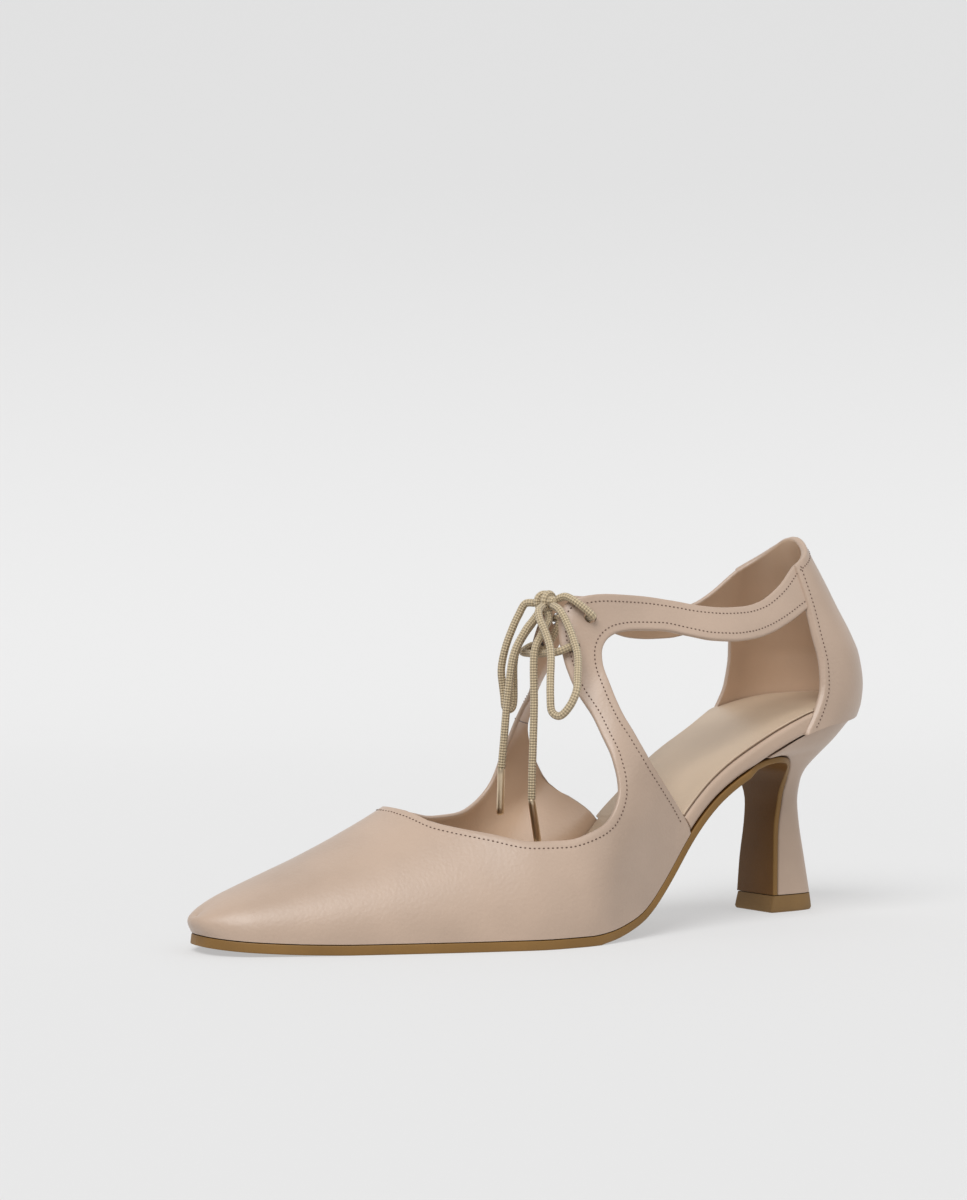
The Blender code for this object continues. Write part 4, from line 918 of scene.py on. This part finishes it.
def shell(grids, roll):
    """A leather wall between its skins, with a rolled edge round every border."""
    skin = bmesh.new()
    lift_layer = skin.verts.layers.float.new("lift")
    for grid, lifts, outward in grids:
        rows = []
        for points, lift in zip(grid, lifts):
            row = [skin.verts.new(p) for p in points]
            for vert in row:
                vert[lift_layer] = lift
            rows.append(row)
        for a, b in zip(rows, rows[1:]):
            for j in range(len(a) - 1):
                loop = [a[j], a[j + 1], b[j + 1], b[j]]
                skin.faces.new(loop if outward else loop[::-1])
    bmesh.ops.remove_doubles(skin, verts=skin.verts[:], dist=WELD)
    skin.normal_update()
    skin.verts.ensure_lookup_table()
    solid = bmesh.new()
    ways = [v.normal.copy() for v in skin.verts]
    for _ in range(EVENING):
        ways = [sum((ways[e.other_vert(v).index] for e in v.link_edges), ways[v.index]).normalized()
                for v in skin.verts]
    outer = [solid.verts.new(v.co + v.normal * v[lift_layer]) for v in skin.verts]
    inner = [solid.verts.new(v.co - ways[v.index] * WALL) for v in skin.verts]
    for face in skin.faces:
        ids = [v.index for v in face.verts]
        solid.faces.new([outer[i] for i in ids])
        solid.faces.new([inner[i] for i in reversed(ids)]).material_index = 1
    ribs = {}
    for vert in skin.verts:
        if not vert.is_boundary:
            continue
        away = Vector()
        for edge in vert.link_edges:
            if edge.is_boundary:
                face = edge.link_faces[0]
                along = (edge.verts[1].co - edge.verts[0].co).normalized()
                side = along.cross(ways[vert.index])
                if side.dot(face.calc_center_median() - vert.co) > 0:
                    side = -side
                away += side
        away = away.normalized() if away.length > 0 else away
        on_seat = place(0, 0, seat(vert.co.x / ALONG)).z > vert.co.z - GAP
        rise = SEAT_ROLL if on_seat else roll
        top = outer[vert.index].co
        foot = inner[vert.index].co
        middle = (top + foot) / 2
        rib = [outer[vert.index]]
        for k in range(1, RIM_STEPS):
            angle = math.pi * k / RIM_STEPS
            spot = middle + (top - middle) * math.cos(angle) + away * rise * math.sin(angle)
            rib.append(solid.verts.new(spot))
        ribs[vert.index] = rib + [inner[vert.index]]
    for edge in skin.edges:
        if edge.is_boundary:
            a, b = [v.index for v in edge.verts]
            face = edge.link_faces[0]
            order = [v.index for v in face.verts]
            if order[(order.index(a) + 1) % len(order)] != b:
                a, b = b, a
            for k in range(RIM_STEPS):
                solid.faces.new([ribs[b][k], ribs[a][k], ribs[a][k + 1], ribs[b][k + 1]])
    skin.free()
    return solid


def rounded_ring(corners, radius, steps=3):
    """The ring with each corner rounded off."""
    out = []
    count = len(corners)
    for i, corner in enumerate(corners):
        a = corners[i - 1]
        b = corners[(i + 1) % count]
        la = (a - corner).length
        lb = (b - corner).length
        r = min(radius, la * CORNER_SHARE, lb * CORNER_SHARE)
        start = corner + (a - corner) * (r / la if la else 0)
        end = corner + (b - corner) * (r / lb if lb else 0)
        for k in range(steps + 1):
            t = k / steps
            out.append(start * (1 - t) ** 2 + corner * 2 * t * (1 - t) + end * t * t)
    return out


def loft(rings, marks=None):
    """A closed solid through the rings; marks gives each side of the ring its material."""
    solid = bmesh.new()
    loops = [[solid.verts.new(p) for p in ring] for ring in rings]
    count = len(loops[0])
    for a, b in zip(loops, loops[1:]):
        for i in range(count):
            k = (i + 1) % count
            face = solid.faces.new([a[i], a[k], b[k], b[i]])
            face.material_index = marks[i] if marks else 0
    solid.faces.new(loops[0])
    solid.faces.new(loops[-1][::-1])
    bmesh.ops.remove_doubles(solid, verts=solid.verts[:], dist=LOFT_WELD)
    bmesh.ops.recalc_face_normals(solid, faces=solid.faces[:])
    return solid


def cord_tube(solid, points, radius, closed=False):
    """A cord's skin along the points, with its own map: distance along, and share round."""
    uv = solid.loops.layers.uv.get("cord") or solid.loops.layers.uv.new("cord")
    count = len(points)
    rings = []
    side = None
    gone = 0.0
    spots = []
    for i, point in enumerate(points):
        a = points[(i - 1) % count] if closed else points[max(i - 1, 0)]
        b = points[(i + 1) % count] if closed else points[min(i + 1, count - 1)]
        way = (b - a).normalized()
        if side is None:
            side = way.orthogonal().normalized()
        side = (side - way * side.dot(way)).normalized()
        other = way.cross(side)
        if i:
            gone += (point - points[i - 1]).length
        spots.append((point, way, side, other, gone))
    caps = () if closed else CORD_CAP
    plan = [(0, -push, share) for push, share in caps] + [(i, 0, 1) for i in range(count)]
    plan += [(count - 1, push, share) for push, share in caps[::-1]]
    for i, push, share in plan:
        point, way, side, other, far = spots[i]
        ring = []
        for k in range(CORD_SIDES):
            angle = 2 * math.pi * k / CORD_SIDES
            out = side * math.cos(angle) + other * math.sin(angle)
            ring.append(solid.verts.new(point + way * push * radius * CAP_PUSH + out * radius * share))
        rings.append((ring, far + push * radius))
    if closed:
        rings.append((rings[0][0], gone + (points[0] - points[-1]).length))
    for (a, u0), (b, u1) in zip(rings, rings[1:]):
        for k in range(CORD_SIDES):
            m = (k + 1) % CORD_SIDES
            face = solid.faces.new([a[k], a[m], b[m], b[k]])
            v0, v1 = k / CORD_SIDES, (k + 1) / CORD_SIDES
            for corner, spot in zip(face.loops, ((u0, v0), (u0, v1), (u1, v1), (u1, v0))):
                corner[uv].uv = spot
    if not closed:
        solid.faces.new(rings[0][0][::-1])
        solid.faces.new(rings[-1][0])


def skin_tree(grids):
    """The outer skin as a search tree, for points that have to lie on it."""
    points = []
    faces = []
    for grid, outward in grids:
        start = len(points)
        wide = len(grid[0])
        points += [point for line in grid for point in line]
        for i in range(len(grid) - 1):
            for j in range(wide - 1):
                corner = start + i * wide + j
                loop = [corner, corner + 1, corner + wide + 1, corner + wide]
                faces.append(loop if outward else loop[::-1])
    return BVHTree.FromPolygons(points, faces)


def row_inside(border, inward, tree, inset, lift=0.0):
    """Points on the skin that run a set way inside the border; inward is the way in at its end."""
    out = []
    way = inward
    last = len(border) - 1
    for i in range(last, -1, -1):
        along = (border[min(i + 1, last)] - border[max(i - 1, 0)]).normalized()
        across = along.cross(tree.find_nearest(border[i])[1]).normalized()
        if across.dot(way) < 0:
            across = -across
        way = across
        spot, normal = tree.find_nearest(border[i] + across * inset)[:2]
        out.append((spot + normal * lift, normal))
    return out[::-1]


def stitch_tree():
    """Sunk stitches laid end to end along a line of edges."""
    found = bpy.data.node_groups.get("stitch_row")
    if found:
        return found
    group = bpy.data.node_groups.new("stitch_row", "GeometryNodeTree")
    face = group.interface
    face.new_socket(name="Line", in_out="INPUT", socket_type="NodeSocketGeometry")
    for name in ("Spacing", "Length", "Width"):
        face.new_socket(name=name, in_out="INPUT", socket_type="NodeSocketFloat")
    face.new_socket(name="Material", in_out="INPUT", socket_type="NodeSocketMaterial")
    face.new_socket(name="Stitches", in_out="OUTPUT", socket_type="NodeSocketGeometry")
    come = node(group, "NodeGroupInput")
    line = node(group, "GeometryNodeMeshToCurve", ((come, "Line", "Mesh"),))
    spread = node(group, "GeometryNodeResampleCurve",
                  ((line, "Curve", "Curve"), (come, "Spacing", "Length")), mode="LENGTH")
    ball = node(group, "GeometryNodeMeshIcoSphere", values=(("Radius", 0.5), ("Subdivisions", 2)))
    size = node(group, "ShaderNodeCombineXYZ",
                ((come, "Length", "X"), (come, "Width", "Y"), (come, "Width", "Z")))
    tangent = node(group, "GeometryNodeInputTangent")
    turn = node(group, "FunctionNodeAlignRotationToVector", ((tangent, "Tangent", "Vector"),), axis="X")
    copies = node(group, "GeometryNodeInstanceOnPoints",
                  ((spread, "Curve", "Points"), (ball, "Mesh", "Instance"),
                   (turn, "Rotation", "Rotation"), (size, "Vector", "Scale")))
    real = node(group, "GeometryNodeRealizeInstances", ((copies, "Instances", "Geometry"),))
    paint = node(group, "GeometryNodeSetMaterial",
                 ((real, "Geometry", "Geometry"), (come, "Material", "Material")))
    node(group, "NodeGroupOutput", ((paint, "Geometry", "Stitches"),))
    return group


def stitch_piece(name, lines, material):
    """Turns lines on the skin into one mesh of stitches."""
    sizes = bpy.context.scene.heel_sizes
    mesh = bpy.data.meshes.new(name + "_line")
    verts = []
    edges = []
    for line in lines:
        start = len(verts)
        verts += [tuple(p + n * STITCH_RAISE) for p, n in line]
        edges += [(start + i, start + i + 1) for i in range(len(line) - 1)]
    mesh.from_pydata(verts, edges, [])
    holder = bpy.data.objects.new(name + "_line", mesh)
    bpy.context.scene.collection.objects.link(holder)
    modifier = holder.modifiers.new("stitches", "NODES")
    tree = stitch_tree()
    modifier.node_group = tree
    values = {"Spacing": sizes.stitch_spacing, "Length": sizes.stitch_length,
              "Width": sizes.stitch_width, "Material": material}
    for item in tree.interface.items_tree:
        if item.in_out == "INPUT" and item.name in values:
            modifier[item.identifier] = values[item.name]
    graph = bpy.context.evaluated_depsgraph_get()
    graph.update()
    made = bpy.data.meshes.new_from_object(holder.evaluated_get(graph))
    bpy.data.objects.remove(holder)
    made.name = name
    thing = bpy.data.objects.new(name, made)
    bpy.context.scene.collection.objects.link(thing)
    for face in made.polygons:
        face.use_smooth = True
    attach(thing, "root")
    return thing


# Operators.


class HEEL_OT_upper(bpy.types.Operator):
    """Makes the upper: toe, sides, arms, straps and counter as one leather shell"""
    bl_idname = "heel.upper"
    bl_label = "Upper"

    def execute(self, context):
        colours = context.scene.heel_colours
        sizes = context.scene.heel_sizes
        grids = []
        for side in ("lateral", "medial"):
            outward = side == "medial"
            toe = toe_grid(side)
            rest = side_grid(side)
            heel, lifts = counter_grid(side)
            grids.append((toe, [0] * len(toe), outward))
            grids.append((rest, [0] * len(rest), outward))
            grids.append((heel, lifts, outward))
        materials = [leather("upper_leather_dressed", colours.upper, depth=0.2, coat=0.22),
                     leather("lining_leather", colours.lining, depth=0.08)]
        upper = finish_piece("upper_leather_shell", shell(grids, sizes.edge_roll), materials,
                             ["upper"], 55)
        dark = leather("hole_edge", HOLE_EDGE)
        cutters = []
        for side in ("lateral", "medial"):
            for hole in (UPPER_HOLE, LOWER_HOLE):
                centre, out = hole_frame(hole, side)
                solid = bmesh.new()
                turn = out.to_track_quat("Z", "Y").to_matrix().to_4x4()
                turn.translation = centre
                radius = LACE_HOLE_DIAMETER / 2
                bmesh.ops.create_cone(solid, cap_ends=True, segments=HOLE_SIDES, radius1=radius,
                                      radius2=radius, depth=CUTTER_DEPTH, matrix=turn)
                mesh = bpy.data.meshes.new("hole_cutter")
                solid.to_mesh(mesh)
                solid.free()
                mesh.materials.append(dark)
                cutter = bpy.data.objects.new("hole_cutter", mesh)
                context.scene.collection.objects.link(cutter)
                modifier = upper.modifiers.new("hole", "BOOLEAN")
                modifier.object = cutter
                modifier.solver = "EXACT"
                modifier.material_mode = "TRANSFER"
                cutters.append(cutter)
        graph = context.evaluated_depsgraph_get()
        graph.update()
        cut = bpy.data.meshes.new_from_object(upper.evaluated_get(graph))
        upper.modifiers.clear()
        upper.data = cut
        for cutter in cutters:
            bpy.data.objects.remove(cutter)
        return {"FINISHED"}


class HEEL_OT_stitches(bpy.types.Operator):
    """Lays the stitch rows along the toplines, the cut outs, the straps and the counter"""
    bl_idname = "heel.stitches"
    bl_label = "Stitches"

    def execute(self, context):
        sizes = context.scene.heel_sizes
        material = leather("stitch_thread", context.scene.heel_colours.stitch)
        inset = sizes.stitch_inset
        sides = {side: side_grid(side) for side in ("lateral", "medial")}
        heels = {side: counter_grid(side)[0] for side in sides}
        toes = {side: toe_grid(side) for side in sides}
        tree = skin_tree([(grids[side], side == "medial") for grids in (sides, heels, toes)
                          for side in grids])
        topline = [row[-1] for row in sides["lateral"][::-1]] + [row[-1] for row in sides["medial"][1:]]
        lines = [row_inside(topline, DOWN, tree, inset)]
        collar = [row[-1] for row in heels["lateral"][EDGE_TURNS:]]
        collar += [row[-1] for row in heels["medial"][EDGE_TURNS:-1][::-1]]
        counter_lines = [row_inside(collar, DOWN, tree, inset, COUNTER_STEP)]
        for side in sides:
            arm = [row[0] for row in sides[side][ARM_START:]]
            lines.append(row_inside(arm, -DOWN, tree, inset))
            front = heels[side][0][2:-1]
            counter_lines.append(row_inside(front, BACKWARD, tree, inset, COUNTER_STEP))
        seam = bmesh.new()
        across = [hole_frame(dict(x=mix(*SEAM_X, k / SEAM_STEPS), z=mix(*SEAM_Z, k / SEAM_STEPS)), "medial")
                  for k in range(SEAM_STEPS + 1)]
        cord_tube(seam, [centre for centre, out in across], SEAM_OUTSIDE)
        cord_tube(seam, [centre - out * WALL for centre, out in across], SEAM_INSIDE)
        finish_piece("inner_arm_seam", seam, [material], [])
        stitch_piece("strap_stitches", lines, material)
        stitch_piece("counter_stitches", counter_lines, material)
        return {"FINISHED"}


def footbed_rings(extra, from_seat, under, thickness, radius):
    """Rounded cross sections of the board or the sock, from the toe to the back of the heel."""
    rows = refine(BOARD, ["x0", "x1"], BOARD_BETWEEN, ("lateral", "medial"))
    rings = []
    for row in rows:
        ring = board_ring(row, extra, from_seat, under, thickness)
        rings.append(rounded_ring(ring, radius, BOARD_ROUNDS))
    return rings


class HEEL_OT_footbed(bpy.types.Operator):
    """Makes the wrapped board and the sock that lies on it"""
    bl_idname = "heel.footbed"
    bl_label = "Footbed"

    def execute(self, context):
        colours = context.scene.heel_colours
        sizes = context.scene.heel_sizes
        band = leather("board_leather", colours.band, coat=0.15)
        sock = leather("footbed_leather", colours.footbed, cells=1200.0, depth=0.08)
        cut = leather("sock_cut_edge", SOCK_EDGE, cells=1200.0, depth=0.08)
        board = loft(footbed_rings(0, True, SOCK_THICKNESS + SOCK_SEAT, 0, sizes.wrap_round))
        finish_piece("board_wrapped", board, [band], ["insole_board"], 50)
        corner = BOARD_ROUNDS + 1
        marks = [1] * corner + [0] * corner * 2 + [1] * corner
        cover = loft(footbed_rings(GAP * 2, False, 0, SOCK_THICKNESS, SOCK_THICKNESS * SOCK_ROUND), marks)
        finish_piece("footbed_sock", cover, [sock, cut], ["insole_sock"], 50)
        return {"FINISHED"}


class HEEL_OT_sole(bpy.types.Operator):
    """Makes the outsole with its edge, tread and breast"""
    bl_idname = "heel.sole"
    bl_label = "Outsole"

    def execute(self, context):
        colours = context.scene.heel_colours
        edge = plain("sole_edge_tan", colours.sole_edge, 0.5, 0)
        tread = plain("sole_tread_brown", colours.sole_tread, 0.45, 0)
        front = refine([dict(x=x) for x in SOLE_FRONT], ["x"], BOARD_BETWEEN)
        breast = refine(BREAST, ["x", "z", "wide"], BOARD_BETWEEN)
        rings = []
        for ring in sole_rings([row["x"] for row in front], breast):
            rings.append(rounded_ring(ring, context.scene.heel_sizes.sole_round, SOLE_ROUNDS))
        marks = ([0] * (SOLE_ROUNDS * 2 + 1) + [1]) * 2
        finish_piece("outsole_dressed", loft(rings, marks), [edge, tread], ["outsole"], 35)
        return {"FINISHED"}


class HEEL_OT_heel(bpy.types.Operator):
    """Makes the leather covered heel and its top piece"""
    bl_idname = "heel.heel"
    bl_label = "Heel"

    def execute(self, context):
        colours = context.scene.heel_colours
        keys = ["xf", "zf", "xb", "zb", "wide", "square", "seat"]
        wrap = leather("heel_leather", colours.upper, coat=0.06)
        rings = [round_front(slice_ring(row, 0)) for row in refine(HEEL, keys, HEEL_BETWEEN)]
        finish_piece("heel_covered", loft(rings), [wrap], ["heel_block"], 40)
        rubber = plain("top_piece_brown", colours.top_piece, 0.6, 0)
        lift = place(0, 0, TOP_PIECE[0]["zf"]).z / TOP_PIECE[0]["zf"]
        rings = [round_front(slice_ring(row, lift))
                 for row in refine(TOP_PIECE, keys, TOP_PIECE_BETWEEN)]
        finish_piece("top_piece_dressed", loft(rings), [rubber], ["top_piece"], 35)
        return {"FINISHED"}


def round_front(ring):
    """Rounds the two front corners of a heel slice."""
    out = []
    last = len(ring) - 1
    for i, corner in enumerate(ring):
        if i not in (0, last):
            out.append(corner)
            continue
        a = ring[i - 1] if i else ring[last]
        b = ring[(i + 1) % len(ring)]
        start = corner + (a - corner).normalized() * min(FRONT_ROUND, (a - corner).length * CORNER_SHARE)
        end = corner + (b - corner).normalized() * min(FRONT_ROUND, (b - corner).length * CORNER_SHARE)
        for k in range(FRONT_ROUNDS + 1):
            t = k / FRONT_ROUNDS
            out.append(start * (1 - t) ** 2 + corner * 2 * t * (1 - t) + end * t * t)
    return out


class HEEL_OT_laces(bpy.types.Operator):
    """Makes the lace: crossings, knot, loops, ends and aglets"""
    bl_idname = "heel.laces"
    bl_label = "Laces"

    def execute(self, context):
        colours = context.scene.heel_colours
        cotton = braid("lace_braid", colours.lace)
        metal = plain("aglet_gold", colours.metal, 0.3, 1.0, depth=0.02)
        radius = LACE_DIAMETER / 2
        solid = bmesh.new()
        cord_tube(solid, crossing_line(CORD_BETWEEN), radius)
        finish_piece("lace_over_instep", solid, [cotton], ["lace_crossings"], 60)
        knot = self.knot(cotton, radius)
        tips = {}
        for name, table in (("aglet_lateral", AGLET_LATERAL), ("aglet_medial", AGLET_MEDIAL)):
            solid = bmesh.new()
            cord_tube(solid, cord_line(table, AGLET_BETWEEN, 0), AGLET_DIAMETER / 2)
            tips[name] = finish_piece(name + "_metal", solid, [metal], [name], 60)
        cords = (("lace_loop_lateral", LOOP_LATERAL, 2, "knot", []),
                 ("lace_loop_medial", LOOP_MEDIAL, 2, "knot", []),
                 ("lace_end_lateral", END_LATERAL, 1, "fitting", [tips["aglet_lateral"], knot]),
                 ("lace_end_medial", END_MEDIAL, 1, "fitting", [tips["aglet_medial"]]))
        for name, table, ends, far_end, with_pieces in cords:
            points = cord_line(table, CORD_BETWEEN, ends)
            solid = bmesh.new()
            cord_tube(solid, points, radius)
            cord = finish_piece(name + "_cord", solid, [cotton], [name], 60)
        return {"FINISHED"}

    def knot(self, cotton, radius):
        """One turn of cord round the bundle that the loops and ends come out of."""
        centre = place(KNOT_CENTRE["x"], KNOT_CENTRE["y"], KNOT_CENTRE["z"])
        solid = bmesh.new()
        along, across, up = KNOT_TURN_SIZE
        for shift, twist in KNOT_TURNS:
            ring = []
            for k in range(KNOT_TURN_STEPS):
                angle = 2 * math.pi * k / KNOT_TURN_STEPS
                ring.append(centre + Vector((along * math.cos(angle),
                                             shift + across * math.sin(angle + twist),
                                             up * math.sin(angle))))
            cord_tube(solid, ring, radius * KNOT_TURN_CORD, closed=True)
        core = [centre + Vector((0, y, 0)) for y in KNOT_CORE]
        cord_tube(solid, core, radius * KNOT_CORE_CORD)
        return finish_piece("lace_bow_knot", solid, [cotton], ["lace_knot"], 60)


class HEEL_OT_stage(bpy.types.Operator):
    """Sets the pale floor, the soft lights and the camera"""
    bl_idname = "heel.stage"
    bl_label = "Stage"

    def execute(self, context):
        scene = context.scene
        solid = bmesh.new()
        profile = [(FLOOR_NEAR, 0), (0, 0), (FLOOR_BEND, 0)]
        for k in range(FLOOR_BEND_STEPS):
            angle = math.pi / 2 * (k + 1) / FLOOR_BEND_STEPS
            profile.append((FLOOR_BEND + FLOOR_BEND_SIZE * math.sin(angle),
                            FLOOR_BEND_SIZE - FLOOR_BEND_SIZE * math.cos(angle)))
        profile.append((FLOOR_BEND + FLOOR_BEND_SIZE, FLOOR_TOP))
        rows = []
        for far, high in profile:
            middle = FLOOR_MIDDLE + LOOK * far - DOWN * high
            rows.append([solid.verts.new(middle + RIGHT * wide) for wide in (-FLOOR_WIDE, FLOOR_WIDE)])
        for a, b in zip(rows, rows[1:]):
            solid.faces.new([a[0], a[1], b[1], b[0]])
        mesh = bpy.data.meshes.new("studio_floor")
        solid.to_mesh(mesh)
        solid.free()
        floor = bpy.data.objects.new("studio_floor", mesh)
        scene.collection.objects.link(floor)
        for face in mesh.polygons:
            face.use_smooth = True
        paper, shader = blank("studio_paper", PAPER)
        shader.inputs["Roughness"].default_value = 0.9
        shader.inputs["Specular IOR Level"].default_value = 0.1
        shader.inputs["Emission Color"].default_value = (1, 1, 1, 1)
        shader.inputs["Emission Strength"].default_value = PAPER_GLOW
        mesh.materials.append(paper)
        for name, spot, spread, power in LIGHTS:
            data = bpy.data.lights.new(name, "SUN")
            data.angle = spread
            data.energy = power
            lamp = bpy.data.objects.new(name, data)
            scene.collection.objects.link(lamp)
            lamp.location = spot
            lamp.rotation_euler = (-lamp.location).to_track_quat("-Z", "Y").to_euler()
        world = bpy.data.worlds.new("studio")
        world.use_nodes = True
        world.node_tree.nodes["Background"].inputs["Color"].default_value = (1, 1, 1, 1)
        world.node_tree.nodes["Background"].inputs["Strength"].default_value = WORLD_GLOW
        scene.world = world
        scene.view_settings.view_transform = "Standard"
        data = bpy.data.cameras.new("camera")
        data.lens = LENS
        data.sensor_width = SENSOR
        data.sensor_height = SENSOR
        data.clip_start = 0.01
        data.clip_end = 50
        camera = bpy.data.objects.new("camera", data)
        scene.collection.objects.link(camera)
        camera.matrix_world = CAMERA
        scene.camera = camera
        return {"FINISHED"}


class HEEL_PT_panel(bpy.types.Panel):
    """Lists the pieces of the heel"""
    bl_idname = "HEEL_PT_panel"
    bl_label = "Lace up heel"
    bl_space_type = "VIEW_3D"
    bl_region_type = "UI"
    bl_category = "Heel"

    def draw(self, context):
        for operator in OPERATORS:
            self.layout.operator(operator.bl_idname)
        for group in (context.scene.heel_sizes, context.scene.heel_colours):
            for name in group.__annotations__:
                self.layout.prop(group, name)


OPERATORS = (HEEL_OT_stage, HEEL_OT_upper, HEEL_OT_stitches, HEEL_OT_footbed, HEEL_OT_sole,
             HEEL_OT_heel, HEEL_OT_laces)
CLASSES = (HeelSizes, HeelColours) + OPERATORS + (HEEL_PT_panel,)


def register():
    for item in CLASSES:
        bpy.utils.register_class(item)
    bpy.types.Scene.heel_sizes = bpy.props.PointerProperty(type=HeelSizes)
    bpy.types.Scene.heel_colours = bpy.props.PointerProperty(type=HeelColours)


def unregister():
    del bpy.types.Scene.heel_colours
    del bpy.types.Scene.heel_sizes
    for item in reversed(CLASSES):
        bpy.utils.unregister_class(item)


def main():
    register()
    bpy.ops.heel.stage()
    bpy.ops.heel.laces()
    bpy.ops.heel.upper()
    bpy.ops.heel.stitches()
    bpy.ops.heel.footbed()
    bpy.ops.heel.sole()
    bpy.ops.heel.heel()


if __name__ == "__main__":
    main()
